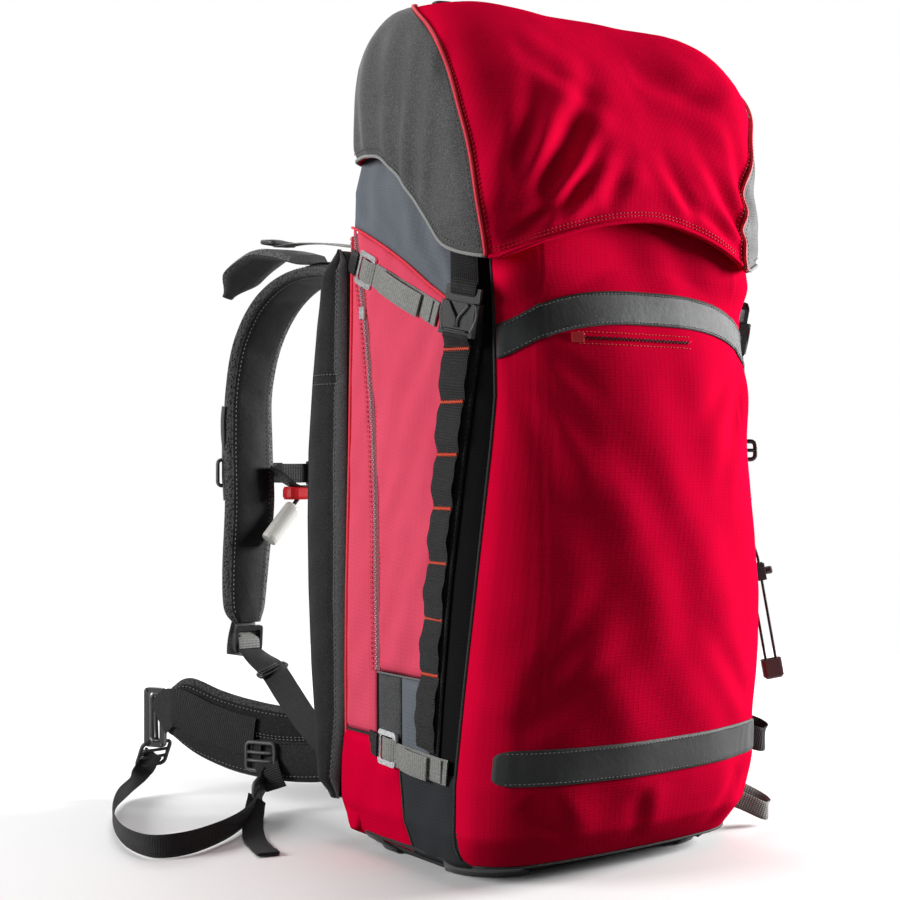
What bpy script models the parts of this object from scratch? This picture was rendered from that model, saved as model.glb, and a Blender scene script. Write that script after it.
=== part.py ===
"""Avalanche airbag backpack, about 45 litres: main bag with lid, side airbag pockets, harness and trigger.

Frame: metres, +Z up, origin at the middle of the flat base. -Y is the front of the bag, away from the
wearer, +Y is the wearer's side, and -X is the wearer's left.
"""
import math

import bmesh
import bpy
from mathutils import Matrix, Vector

for old in list(bpy.data.objects):
    bpy.data.objects.remove(old, do_unlink=True)

# ---------------------------------------------------------------- driving dimensions
GAP = 0.0005            # gap between pieces that touch
WALL = 0.003            # cloth and foam of the main bag
HOOD_WALL = 0.004
BAG_BACK = 0.076        # flat rear shoulders of the main bag, in front of the airbag pockets
BUMP_HALF = 0.0945      # half width of the centre compartment between the airbag pockets
PAD_HALF = 0.088        # half width of the back pad
POCKET_IN, POCKET_MOUTH, POCKET_OUT = 0.0975, 0.1520, 0.1640
WEB = 0.025             # main webbing width
HOOD_PIVOT = (0.0, 0.090, 0.500)
SHOULDER_PIVOT = (0.068, 0.1435, 0.482)
HIP_PIVOT = (0.0925, 0.1600, 0.075)
CHEST_Z = 0.318
CORD_D = 0.0025

BAG_Z = [0.0, 0.012, 0.04, 0.08, 0.15, 0.22, 0.28, 0.34, 0.40, 0.45, 0.50, 0.53, 0.555, 0.585, 0.610, 0.630]
BAG_HX = [0.124, 0.141, 0.151, 0.154, 0.1545, 0.154, 0.1525, 0.151, 0.150, 0.149, 0.1485, 0.1475, 0.146, 0.132, 0.090, 0.046]
BAG_YF = [-0.074, -0.096, -0.106, -0.111, -0.1125, -0.113, -0.1115, -0.110, -0.107, -0.104, -0.099, -0.094, -0.086, -0.074, -0.062, -0.056]
BAG_YB = [0.062, 0.070, 0.075, 0.076, 0.076, 0.076, 0.076, 0.076, 0.076, 0.076, 0.076, 0.075, 0.072, 0.066, 0.052, 0.036]
BAG_BULGE = [0.0, 0.002, 0.006, 0.008, 0.008, 0.008, 0.008, 0.008, 0.008, 0.008, 0.008, 0.006, 0.003, 0.0, 0.0, 0.0]
BACK_Z = [0.0, 0.012, 0.04, 0.08, 0.15, 0.22, 0.28, 0.34, 0.40, 0.45, 0.50, 0.53]
BACK_Y = [0.092, 0.104, 0.117, 0.125, 0.134, 0.139, 0.1405, 0.139, 0.132, 0.124, 0.112, 0.100]


def interp(x, xs, ys):
    if x <= xs[0]:
        return ys[0]
    for i in range(1, len(xs)):
        if x <= xs[i]:
            f = (x - xs[i - 1]) / (xs[i] - xs[i - 1])
            return ys[i - 1] + (ys[i] - ys[i - 1]) * f
    return ys[-1]


def bag_dims(z):
    """half width, front y, rear shoulder y, corner radius, front bulge of the main bag at height z"""
    hx, yf, yb = interp(z, BAG_Z, BAG_HX), interp(z, BAG_Z, BAG_YF), interp(z, BAG_Z, BAG_YB)
    rc = min(0.046, 0.9 * hx)
    bulge = interp(z, BAG_Z, BAG_BULGE)
    return hx, yf, yb, rc, bulge


def back_y(z):
    """rear face of the pack body, which follows the spine"""
    return interp(z, BACK_Z, BACK_Y)


def bag_side_x(y, z):
    """outer half width of the main bag at depth y and height z"""
    hx, yf, yb, rc, bulge = bag_dims(z)
    if y >= yf + rc:
        return hx
    d = min(abs(y - (yf + rc)), rc * 0.999)
    return hx - rc + math.sqrt(rc * rc - d * d)


def front_point(u, z, off):
    """point on the bag's front at height z, u from -1 (left side) to 1 (right side), moved out by off"""
    hx, yf, yb, rc, bulge = bag_dims(z)
    s = 1 if u >= 0 else -1
    a = abs(u)
    flat = 0.70
    if a <= flat:
        x = a / flat * (hx - rc)
        y = yf - bulge * (1 - (x / (hx - rc)) ** 2)
        n = Vector((2 * bulge * x / (hx - rc) ** 2, -1.0, 0)).normalized()
    else:
        t = (a - flat) / (1 - flat) * math.radians(interp(z, [0.08, 0.38], [72.0, 43.0]))
        x = hx - rc + rc * math.sin(t)
        y = yf + rc - rc * math.cos(t)
        n = Vector((math.sin(t), -math.cos(t), 0))
    return Vector((s * (x + n.x * off), y + n.y * off, z))


# ---------------------------------------------------------------- scene helpers
PARTS = bpy.data.collections.new("avalanche_airbag_backpack")
bpy.context.scene.collection.children.link(PARTS)
CUTTERS = bpy.data.collections.new("cutters")
bpy.context.scene.collection.children.link(CUTTERS)

PALETTE = {
    "red_shell": ((0.60, 0.004, 0.022), 0.62, 0.0),
    "red_side": ((0.72, 0.06, 0.10), 0.62, 0.0),
    "charcoal_shell": ((0.065, 0.067, 0.070), 0.7, 0.0),
    "black_softshell": ((0.022, 0.022, 0.025), 0.85, 0.0),
    "black_mesh": ((0.018, 0.018, 0.019), 0.9, 0.0),
    "black_webbing": ((0.020, 0.020, 0.021), 0.7, 0.0),
    "grey_webbing": ((0.32, 0.32, 0.30), 0.6, 0.0),
    "black_plastic": ((0.018, 0.018, 0.019), 0.38, 0.0),
    "light_plastic": ((0.66, 0.66, 0.63), 0.42, 0.0),
    "red_plastic": ((0.62, 0.01, 0.02), 0.35, 0.0),
    "silver_metal": ((0.70, 0.71, 0.72), 0.28, 1.0),
    "steel_cartridge": ((0.50, 0.51, 0.53), 0.35, 1.0),
    "frame_sheet": ((0.75, 0.75, 0.72), 0.5, 0.0),
    "frame_rod": ((0.62, 0.63, 0.65), 0.35, 1.0),
    "airbag_cloth": ((0.85, 0.16, 0.02), 0.55, 0.0),
    "hose": ((0.04, 0.04, 0.045), 0.45, 0.0),
    "cord": ((0.03, 0.03, 0.03), 0.7, 0.0),
}
_mats = {}


def material(key):
    if key not in _mats:
        colour, rough, metal = PALETTE[key]
        m = bpy.data.materials.new(key)
        m.use_nodes = True
        b = m.node_tree.nodes["Principled BSDF"]
        b.inputs["Base Color"].default_value = (*colour, 1)
        b.inputs["Roughness"].default_value = rough
        b.inputs["Metallic"].default_value = metal
        m.diffuse_color = (*colour, 1)
        _mats[key] = m
    return _mats[key]


def add(name, bm, mat, pivot=None, smooth=True):
    """a bmesh as a named object whose origin is its pivot"""
    bmesh.ops.recalc_face_normals(bm, faces=bm.faces)
    me = bpy.data.meshes.new(name)
    if pivot is not None:
        bmesh.ops.translate(bm, verts=bm.verts, vec=-Vector(pivot))
    bm.to_mesh(me)
    bm.free()
    me.materials.append(material(mat))
    ob = bpy.data.objects.new(name, me)
    PARTS.objects.link(ob)
    if pivot is not None:
        ob.location = Vector(pivot)
    if smooth:
        me.shade_smooth()
        me.set_sharp_from_angle(angle=math.radians(35))
    return ob


def loft_bm(rings, wrap=False):
    """a closed solid through rings of equal point count; the ends are capped unless it wraps round"""
    bm = bmesh.new()
    rows = [[bm.verts.new(Vector(p)) for p in ring] for ring in rings]
    n = len(rows[0])
    pairs = list(zip(rows, rows[1:])) + ([(rows[-1], rows[0])] if wrap else [])
    for a, b in pairs:
        for i in range(n):
            bm.faces.new((a[i], a[(i + 1) % n], b[(i + 1) % n], b[i]))
    if not wrap:
        bm.faces.new(list(reversed(rows[0])))
        bm.faces.new(rows[-1])
    return bm


def loft(name, rings, mat, pivot=None, wrap=False):
    return add(name, loft_bm(rings, wrap), mat, pivot)


def mirrored(ob, name, pivot_x=True):
    """the right-hand twin of a left-hand piece"""
    me = ob.data.copy()
    me.name = name
    me.transform(Matrix.Scale(-1, 4, Vector((1, 0, 0))))
    me.flip_normals()
    twin = bpy.data.objects.new(name, me)
    twin.location = Vector((-ob.location.x, ob.location.y, ob.location.z))
    twin.rotation_euler = (ob.rotation_euler.x, -ob.rotation_euler.y, -ob.rotation_euler.z)
    PARTS.objects.link(twin)
    return twin


def axes(origin, w, n, m):
    """placing matrix with local x along w, y along n and z along m"""
    w, n, m = Vector(w).normalized(), Vector(n).normalized(), Vector(m).normalized()
    return Matrix(((w.x, n.x, m.x, origin[0]), (w.y, n.y, m.y, origin[1]), (w.z, n.z, m.z, origin[2]), (0, 0, 0, 1)))


def rounded_rect(hw, hh, r, seg=3):
    """corner-rounded rectangle outline"""
    pts = []
    for cx, cy, a0 in ((hw - r, hh - r, 0), (-hw + r, hh - r, 90), (-hw + r, -hh + r, 180), (hw - r, -hh + r, 270)):
        for k in range(seg + 1):
            a = math.radians(a0 + 90 * k / seg)
            pts.append((cx + r * math.cos(a), cy + r * math.sin(a)))
    return pts


def block(name, size, place, mat, bevel=0.0006, pivot=None):
    """a bevelled box"""
    bm = bmesh.new()
    bmesh.ops.create_cube(bm, size=1.0)
    bmesh.ops.scale(bm, vec=Vector(size), verts=bm.verts)
    if bevel:
        bmesh.ops.bevel(bm, geom=bm.edges[:], offset=bevel, segments=1, affect="EDGES", clamp_overlap=True)
    bmesh.ops.transform(bm, matrix=place, verts=bm.verts)
    return add(name, bm, mat, pivot)


def plate(name, outline, thick, place, mat, pivot=None):
    """a flat outline extruded to a thickness along local y, with the outline in local x and z"""
    bm = bmesh.new()
    low = [bm.verts.new((x, -thick / 2, z)) for x, z in outline]
    face = bm.faces.new(low)
    top = bmesh.ops.extrude_face_region(bm, geom=[face])
    verts = [g for g in top["geom"] if isinstance(g, bmesh.types.BMVert)]
    bmesh.ops.translate(bm, verts=verts, vec=(0, thick, 0))
    bmesh.ops.transform(bm, matrix=place, verts=bm.verts)
    return add(name, bm, mat, pivot)


def frame_plate(name, outer, inner, thick, place, mat, pivot=None):
    """a flat ring: outer and inner outlines of equal point count, in local x and z"""
    rings = [[(x, -thick / 2, z) for x, z in outer], [(x, thick / 2, z) for x, z in outer],
             [(x, thick / 2, z) for x, z in inner], [(x, -thick / 2, z) for x, z in inner]]
    bm = loft_bm(rings, wrap=True)
    bmesh.ops.transform(bm, matrix=place, verts=bm.verts)
    return add(name, bm, mat, pivot)


def smooth_path(points, count):
    """a smooth curve through the points, read at equal parameter steps (Catmull-Rom)"""
    pts = [Vector(p) for p in points]
    ext = [pts[0] * 2 - pts[1]] + pts + [pts[-1] * 2 - pts[-2]]
    out = []
    for i in range(count):
        t = i / (count - 1) * (len(pts) - 1)
        k = min(int(t), len(pts) - 2)
        f = t - k
        a, b, c, d = ext[k], ext[k + 1], ext[k + 2], ext[k + 3]
        out.append(0.5 * ((2 * b) + (c - a) * f + (2 * a - 5 * b + 4 * c - d) * f ** 2 + (3 * b - a - 3 * c + d) * f ** 3))
    return out


def ribbon(name, path, side, wide, thick, mat, pivot=None, chamfer=False):
    """a strap swept along a path. side is the direction of its width, one vector or one per point; wide is
    its half width, or (towards -side, towards +side); thick is its full thickness, one number or one per point"""
    pts = [Vector(p) for p in path]
    n = len(pts)
    sides = [Vector(side)] * n if not isinstance(side, list) else [Vector(s) for s in side]
    wides = [wide] * n if not isinstance(wide, list) else wide
    thicks = [thick] * n if not isinstance(thick, list) else thick
    rings = []
    for i, p in enumerate(pts):
        t = (pts[min(i + 1, n - 1)] - pts[max(i - 1, 0)]).normalized()
        s = (sides[i] - t * sides[i].dot(t)).normalized()
        up = t.cross(s)
        w = wides[i] if isinstance(wides[i], tuple) else (wides[i], wides[i])
        h = thicks[i] / 2
        if chamfer:
            c = h * 0.9
            rings.append([p - s * w[0] - up * h * .35, p - s * (w[0] - c) - up * h, p + s * (w[1] - c) - up * h, p + s * w[1] - up * h * .35,
                          p + s * w[1] + up * h * .35, p + s * (w[1] - c) + up * h, p - s * (w[0] - c) + up * h, p - s * w[0] + up * h * .35])
        else:
            rings.append([p - s * w[0] - up * h, p + s * w[1] - up * h, p + s * w[1] + up * h, p - s * w[0] + up * h])
    return loft(name, rings, mat, pivot)


def tube(name, path, radius, mat, res=2, pivot=None):
    """a round tube along a path, made as a bevelled curve and taken as a mesh with welded caps"""
    cu = bpy.data.curves.new(name + "_path", "CURVE")
    cu.dimensions = "3D"
    cu.bevel_depth = radius
    cu.bevel_resolution = res
    cu.use_fill_caps = True
    sp = cu.splines.new("POLY")
    sp.points.add(len(path) - 1)
    for q, p in zip(sp.points, path):
        q.co = (*Vector(p), 1)
    tmp = bpy.data.objects.new(name + "_path", cu)
    bpy.context.scene.collection.objects.link(tmp)
    dg = bpy.context.evaluated_depsgraph_get()
    me = bpy.data.meshes.new_from_object(tmp.evaluated_get(dg))
    bm = bmesh.new()
    bm.from_mesh(me)
    bpy.data.objects.remove(tmp, do_unlink=True)
    bpy.data.curves.remove(cu)
    bpy.data.meshes.remove(me)
    bmesh.ops.remove_doubles(bm, verts=bm.verts, dist=1e-6)
    return add(name, bm, mat, pivot)


def turned(name, profile, base, axis, mat, seg=20, pivot=None):
    """a solid turned about axis from base; profile is (radius, height) from one end to the other"""
    z = Vector(axis).normalized()
    x = z.orthogonal().normalized()
    y = z.cross(x)
    rings = [[Vector(base) + z * h + (x * math.cos(2 * math.pi * k / seg) + y * math.sin(2 * math.pi * k / seg)) * r
              for k in range(seg)] for r, h in profile]
    return loft(name, rings, mat, pivot)


# ---------------------------------------------------------------- main bag: an open tub with a gathered collar
def bag_ring(z, off):
    """half outline of the bag at height z, moved in by off, mirrored to a ring"""
    hx, yf, yb, rc, bulge = bag_dims(z)
    hx, yf, yb, rc = hx - off, yf + off, yb - off, max(rc - off, 0.012)
    yc = max(back_y(min(z, 0.53)) - 0.0005 - off, yb + 0.0008)
    if z > 0.505:
        yc = yb + 0.0008 + (max(back_y(0.53) - off - yb, 0.001)) * max(0.0, (0.545 - z) / 0.04)
    bh = min(BUMP_HALF - off, hx * 0.70)
    r2 = min(0.014, hx * 0.3)
    half = [(0.0, yf - bulge), ((hx - rc) * 0.5, yf - bulge * 0.75), ((hx - rc) * 0.85, yf - bulge * 0.28)]
    for k in range(5):
        a = math.radians(90 * k / 4)
        half.append((hx - rc + rc * math.sin(a), yf + rc - rc * math.cos(a)))
    half += [(hx, yf + rc + (yb - r2 - yf - rc) * 0.5)]
    for k in range(3):
        a = math.radians(90 * k / 2)
        half.append((hx - r2 + r2 * math.cos(a), yb - r2 + r2 * math.sin(a)))
    c = min(0.008, (yc - yb) * 0.4)
    half += [(bh + (hx - r2 - bh) * 0.4, yb), (bh, yb + (yc - yb) * 0.02), (bh, yc - c), (bh - c, yc), (bh * 0.5, yc), (0.0, yc)]
    left = [(-x, y) for x, y in reversed(half[1:-1])]
    return [(x, y, z) for x, y in half + left]


outer = [bag_ring(z, 0.0) for z in BAG_Z]
inner = [[(x, y, z) for x, y, _ in bag_ring(z0, WALL)] for z, z0 in
         [(0.630, 0.630), (0.608, 0.610), (0.582, 0.585), (0.552, 0.555), (0.527, 0.53)] + [(z, z) for z in reversed(BAG_Z[2:11])] + [(0.015, 0.015), (0.004, 0.004)]]
loft("main_bag", outer + inner, "red_side")

# ---------------------------------------------------------------- front stuff pocket, a lens on the bag's front
def pocket_thick(z):
    t = (z - 0.012) / (0.505 - 0.012)
    return 0.004 + 0.030 * (math.sin(math.pi * min(max(t, 0.0), 1.0)) ** 0.45)


def front_surface(u, z):
    a = abs(u)
    return front_point(u, z, 0.0016 + 0.0015 + (pocket_thick(z) - 0.0015) * (1 - a ** 2.6))


US = [-1.0, -0.94, -0.88, -0.82, -0.76, -0.70, -0.52, -0.35, -0.18, 0.0, 0.18, 0.35, 0.52, 0.70, 0.76, 0.82, 0.88, 0.94, 1.0]
rings = []
for z in (0.013, 0.025, 0.04, 0.08, 0.15, 0.22, 0.28, 0.34, 0.40, 0.45, 0.485, 0.4995):
    ua = 0.93 if z < 0.02 else 1.0
    rings.append([front_surface(u * ua, z) for u in US] + [front_point(u * ua, z, 0.0016) for u in reversed(US)])
loft("front_pocket", rings, "red_shell")

# ---------------------------------------------------------------- back: pad, sheet and rod
pad_z = [0.050, 0.058, 0.08, 0.11, 0.15, 0.22, 0.28, 0.34, 0.40, 0.45, 0.476, 0.488]


def pad_thick(z):
    return 0.021 + 0.010 * math.exp(-((z - 0.085) / 0.045) ** 2)


rings = []
for z in pad_z:
    y0 = back_y(z) + GAP
    y1 = y0 + (pad_thick(z) if pad_z[0] < z < pad_z[-1] else 0.012)
    e = 0.006
    rings.append([(-PAD_HALF, y0, z), (-PAD_HALF, y1 - e, z), (-PAD_HALF + e, y1, z), (-0.03, y1 - 0.001, z), (0.03, y1 - 0.001, z),
                  (PAD_HALF - e, y1, z), (PAD_HALF, y1 - e, z), (PAD_HALF, y0, z), (0.03, y0, z), (-0.03, y0, z)])
loft("back_pad", rings, "black_mesh")

rings = []
for z in (0.040, 0.08, 0.15, 0.22, 0.28, 0.34, 0.40, 0.45, 0.485):
    y1 = back_y(z) - WALL - 0.0016
    hw = 0.084
    rings.append([(-hw, y1 - 0.0016, z), (0, y1 - 0.0016, z), (hw, y1 - 0.0016, z), (hw, y1, z), (0, y1, z), (-hw, y1, z)])
loft("frame_sheet", rings, "frame_sheet")

ROD_R = 0.003
leg = [(z, back_y(z) - WALL - 0.0048 - ROD_R) for z in (0.045, 0.08, 0.115, 0.15, 0.185, 0.22, 0.25, 0.28, 0.31, 0.34, 0.37, 0.40, 0.43)]
path = [(-0.072, y, z) for z, y in leg]
top_z, top_y = 0.462, back_y(0.462) - WALL - 0.0048 - ROD_R
for k in range(1, 6):
    a = math.radians(90 * k / 5)
    path.append((-0.072 + 0.032 * (1 - math.cos(a)), leg[-1][1] + (top_y - leg[-1][1]) * math.sin(a), 0.43 + 0.032 * math.sin(a)))
path = path + [(-x, y, z) for x, y, z in reversed(path)]
tube("frame_rod", path, ROD_R, "frame_rod", res=2)

# ---------------------------------------------------------------- airbag pockets, cover flaps and folded airbags
def pocket_outline(inset, seg=3):
    """outline in (y, z): straight front edge, curved rear edge"""
    pts = []
    front, lo, hi = 0.0785 + inset, 0.040 + inset, 0.512 - inset
    r = max(0.012 - inset, 0.004)
    zs = [0.08, 0.15, 0.22, 0.28, 0.34, 0.40, 0.45]
    for k in range(seg + 1):
        a = math.radians(180 + 90 * k / seg)
        pts.append((front + r + r * math.cos(a), lo + r + r * math.sin(a)))
    yb = back_y(lo) - inset - 0.002
    pts.append((yb - 0.010, lo))
    pts.append((yb - 0.002, lo + 0.010))
    for z in zs:
        pts.append((back_y(z) - inset, z))
    pts.append((back_y(0.49) - inset, 0.49 - inset * 0.5))
    pts.append((back_y(0.50) - inset - 0.006, hi - 0.006))
    pts.append((back_y(0.50) - inset - 0.014, hi))
    for k in range(seg + 1):
        a = math.radians(90 + 90 * k / seg)
        pts.append((front + r + r * math.cos(a), hi - r + r * math.sin(a)))
    return pts


o0, o2 = pocket_outline(0.0), pocket_outline(0.002)
rings = [[(-POCKET_IN, y, z) for y, z in o0], [(-POCKET_MOUTH, y, z) for y, z in o0],
         [(-POCKET_MOUTH, y, z) for y, z in o2], [(-POCKET_IN - 0.002, y, z) for y, z in o2]]
pocket = loft("airbag_pocket_left", rings, "black_softshell")
mirrored(pocket, "airbag_pocket_right")

FLAP_PIVOT = (-(POCKET_MOUTH + 0.005), 0.0795, 0.27)
rings = [[(-POCKET_MOUTH - GAP, y, z) for y, z in pocket_outline(0.0005)],
         [(-POCKET_MOUTH - 0.004, y, z) for y, z in pocket_outline(0.0)],
         [(-POCKET_MOUTH - 0.0085, y, z) for y, z in pocket_outline(0.0025)],
         [(-POCKET_OUT, y, z) for y, z in pocket_outline(0.0085)]]
flap = loft("airbag_flap_left", rings, "black_softshell", FLAP_PIVOT)
mirrored(flap, "airbag_flap_right")

rings = []
for z in (0.085, 0.092, 0.15, 0.22, 0.28, 0.34, 0.40, 0.408, 0.415):
    e = 0.004 if z in (0.085, 0.415) else 0.0
    yr = back_y(z) - 0.0065 - e
    x0, x1 = POCKET_IN + 0.0045 + e, POCKET_MOUTH - 0.003 - e
    rings.append([(-x0, 0.0835 + e, z), (-x1, 0.0835 + e, z), (-x1 - 0.0 , 0.094, z), (-x1, yr, z), (-x0, yr, z), (-x0, 0.094, z)])
bag = loft("airbag_left", rings, "airbag_cloth")
mirrored(bag, "airbag_right")

# ---------------------------------------------------------------- inflation system inside the centre compartment
CART = (0.0, 0.0880, 0.0)
turned("gas_cartridge", [(0.004, 0.098), (0.0185, 0.101), (0.0245, 0.110), (0.0250, 0.120), (0.0250, 0.265), (0.0225, 0.282), (0.0140, 0.296),
                         (0.0095, 0.300), (0.0095, 0.312)], CART, (0, 0, 1), "steel_cartridge", seg=24, pivot=(0, CART[1], 0.2))
block("inflation_unit", (0.058, 0.034, 0.046), Matrix.Translation((0, CART[1], 0.3125 + 0.023)), "black_plastic", 0.003)
for sgn, side in ((-1, "left"), (1, "right")):
    route = smooth_path([(sgn * 0.0312, 0.088, 0.338), (sgn * 0.045, 0.089, 0.340), (sgn * 0.062, 0.094, 0.346), (sgn * 0.078, 0.099, 0.350), (sgn * 0.0905, 0.1005, 0.350)], 14)
    tube("inflation_hose_" + side, route, 0.007, "hose", res=2)
route = smooth_path([(-0.012, 0.090, 0.3592), (-0.013, 0.091, 0.378), (-0.022, 0.094, 0.405), (-0.040, 0.097, 0.430), (-0.058, 0.097, 0.450), (-0.066, 0.098, 0.466)], 16)
tube("trigger_hose", route, 0.003, "hose", res=2)

# ---------------------------------------------------------------- daisy chains and compression straps on the sides
def daisy_y(z):
    return -0.0765 + 0.0345 * max(0.0, (0.43 - z) / 0.352) ** 1.2


path, sides = [], []
for k in range(12):
    z = 0.1040 + (0.4245 - 0.1040) * k / 11
    y = daisy_y(z)
    x = bag_side_x(y, z)
    dx = (bag_side_x(y + 0.004, z) - bag_side_x(y - 0.004, z)) / 0.008
    t = Vector((-dx, 1.0, 0)).normalized()
    nrm = Vector((-1.0, -dx, 0)).normalized()
    path.append(Vector((-x, y, z)) + nrm * 0.0034)
    sides.append(t)
chain = ribbon("daisy_chain_left", path, sides, WEB / 2, 0.0026, "black_webbing")
mirrored(chain, "daisy_chain_right")

for tag, y0, z0, y1, z1 in (("upper", 0.0345, 0.4855, -0.0560, 0.4460), ("lower", -0.0064, 0.0927, -0.0745, 0.0892)):
    path = []
    for k in range(7):
        y, z = y0 + (y1 - y0) * k / 6, z0 + (z1 - z0) * k / 6
        path.append((-(bag_side_x(y, z) + 0.0014), y, z))
    st = ribbon("compression_strap_%s_left" % tag, path, (0, 0.4, 1), 0.010, 0.0014, "grey_webbing")
    mirrored(st, "compression_strap_%s_right" % tag)
    d = Vector((0, y1 - y0, z1 - z0)).normalized()
    up = Vector((0, -d.z, d.y))
    if up.z < 0:
        up = -up
    c = Vector((-(bag_side_x(y0 + 0.014, z0) + 0.0040), y0 + 0.0145, z0 + 0.0058 if tag == "upper" else z0 + 0.0035))
    outer_o = rounded_rect(0.0125, 0.0145, 0.003)
    inner_o = rounded_rect(0.0085, 0.0100, 0.002)
    lock = frame_plate("compression_buckle_%s_left" % tag, outer_o, inner_o, 0.0032, axes(c, -d, (-1, 0, 0), up), "silver_metal",
                       pivot=tuple(c + d * 0.0125))
    mirrored(lock, "compression_buckle_%s_right" % tag)

# ---------------------------------------------------------------- hood buckles: female on the bag, male on the hood
M_AXIS = Vector((0.0, -0.235, 0.972)).normalized()
N_AXIS = Vector((-0.88, -0.457, 0.0))
N_AXIS = (N_AXIS - M_AXIS * N_AXIS.dot(M_AXIS)).normalized()
W_AXIS = N_AXIS.cross(M_AXIS).normalized()
surf = Vector((-bag_side_x(-0.0800, 0.442), -0.0800, 0.442))
FC = surf + N_AXIS * 0.0092                       # centre of the female buckle
F_H = 0.0130                                      # half its length
place = axes(FC, W_AXIS, N_AXIS, M_AXIS)
o = rounded_rect(0.0160, 0.0060, 0.0022, 2)
i = rounded_rect(0.0136, 0.0037, 0.0010, 2)
bm = loft_bm([[(x, y, -F_H) for x, y in o], [(x, y, F_H) for x, y in o], [(x, y, F_H) for x, y in i], [(x, y, -F_H + 0.003) for x, y in i]])
bmesh.ops.transform(bm, matrix=place, verts=bm.verts)
fem = add("hood_buckle_female_left", bm, "black_plastic")
mirrored(fem, "hood_buckle_female_right")
MB = 0.0006
trident = [(-0.0150, F_H + MB), (-0.0150, F_H + 0.0120), (0.0150, F_H + 0.0120), (0.0150, F_H + MB), (0.0110, F_H + MB), (0.0108, -0.0060), (0.0080, -0.0068),
           (0.0066, F_H - 0.002), (0.0022, F_H - 0.002), (0.0018, -0.0060), (-0.0018, -0.0060), (-0.0022, F_H - 0.002), (-0.0066, F_H - 0.002),
           (-0.0080, -0.0068), (-0.0108, -0.0060), (-0.0110, F_H + MB)]
male = plate("hood_buckle_male_left", trident, 0.0040, place, "black_plastic", pivot=HOOD_PIVOT)
mirrored(male, "hood_buckle_male_right")
s0 = FC + M_AXIS * (F_H + 0.0162)


def bag_tangent(y, z):
    dx = (bag_side_x(y + 0.004, z) - bag_side_x(y - 0.004, z)) / 0.008
    return Vector((-dx, 1.0, 0)).normalized()


s1 = Vector((-(bag_side_x(-0.080, 0.486) + 0.0048), -0.0800, 0.486))
s2 = Vector((-(bag_side_x(-0.076, 0.520) + 0.0040), -0.0760, 0.520))
w0 = W_AXIS if W_AXIS.y > 0 else -W_AXIS
w1, w2 = bag_tangent(-0.080, 0.486), bag_tangent(-0.076, 0.520)
st = ribbon("hood_strap_left", smooth_path([s0, s1, s2], 7), [w0, w0 * 0.7 + w1 * 0.3, w0 * 0.3 + w1 * 0.7, w1, w1, w2, w2], 0.0110, 0.0014, "black_webbing", pivot=HOOD_PIVOT)
mirrored(st, "hood_strap_right")

# ---------------------------------------------------------------- hood: a domed lid with an arched lower edge
HOOD_Z = [0.480, 0.530, 0.560, 0.590, 0.620, 0.645, 0.665, 0.682, 0.695, 0.7035, 0.7080]
HOOD_HX = [0.1590, 0.1590, 0.1585, 0.1580, 0.1570, 0.1550, 0.1510, 0.1440, 0.1320, 0.1120, 0.0700]
HOOD_YF = [-0.1320, -0.1270, -0.1210, -0.1130, -0.1010, -0.0890, -0.0770, -0.0640, -0.0500, -0.0360, -0.0200]
HOOD_YB = [0.0870, 0.0870, 0.0865, 0.0860, 0.0850, 0.0825, 0.0770, 0.0680, 0.0560, 0.0420, 0.0220]


def hood_point(a, z, off):
    """a from 0 at the rear middle, through the left side, to 1 at the front middle and back to 2"""
    hx, yf, yb = interp(z, HOOD_Z, HOOD_HX) - off, interp(z, HOOD_Z, HOOD_YF) + off, interp(z, HOOD_Z, HOOD_YB) - off
    ang = math.pi * a
    c, s = math.cos(ang), math.sin(ang)
    mid, half = (yf + yb) / 2, (yb - yf) / 2
    p = 5.6
    k = (abs(c) ** p + abs(s) ** p) ** (-1 / p)
    bulge = 0.012 * max(0.0, -c) ** 3 * max(0.0, min(1.0, (0.70 - z) / 0.08))
    return Vector((-hx * s * k, mid + half * c * k - bulge, z))


def hood_edge(a):
    """height of the lower edge round the lid"""
    p = hood_point(a, 0.53, 0.0)
    if p.y < -0.118:
        return 0.484 + 0.036 * max(0.0, 1 - (abs(p.x) / 0.145) ** 1.7)
    return interp(p.y, [-0.118, -0.100, -0.070, -0.047, -0.026, -0.005, 0.020, 0.040], [0.484, 0.487, 0.497, 0.523, 0.546, 0.566, 0.581, 0.584])


N_H = 40
ang = [2 * k / N_H for k in range(N_H)]


def hood_rings(off, top):
    rings = []
    for t in (0.0, 0.30, 0.62, 1.0):
        ring = []
        for a in ang:
            z0 = hood_edge(a)
            z = z0 + (0.645 - z0) * t
            ring.append(hood_point(a, z, off))
        rings.append(ring)
    for z in (0.665, 0.682, 0.695, 0.7035, 0.7080):
        ring = []
        for a in ang:
            p = hood_point(a, z, off)
            p.z = z - top * (z - 0.645) / 0.063
            ring.append(p)
        rings.append(ring)
    return rings


loft("hood", list(reversed(hood_rings(0.0, 0.0))) + hood_rings(HOOD_WALL, HOOD_WALL), "red_shell", pivot=HOOD_PIVOT)

# ---------------------------------------------------------------- grab loop at the top of the back
gy = back_y(0.495) + 0.0105
route = smooth_path([(-0.030, gy, 0.4945), (-0.030, gy + 0.001, 0.512), (-0.022, gy + 0.003, 0.530), (0.0, gy + 0.004, 0.538), (0.022, gy + 0.003, 0.530), (0.030, gy + 0.001, 0.512), (0.030, gy, 0.4945)], 21)
loop_sides = [Vector((0, 1, 0))] * 21
ribbon("grab_loop", route, loop_sides, 0.0085, 0.0022, "black_webbing", pivot=(0, gy, 0.496))

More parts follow.
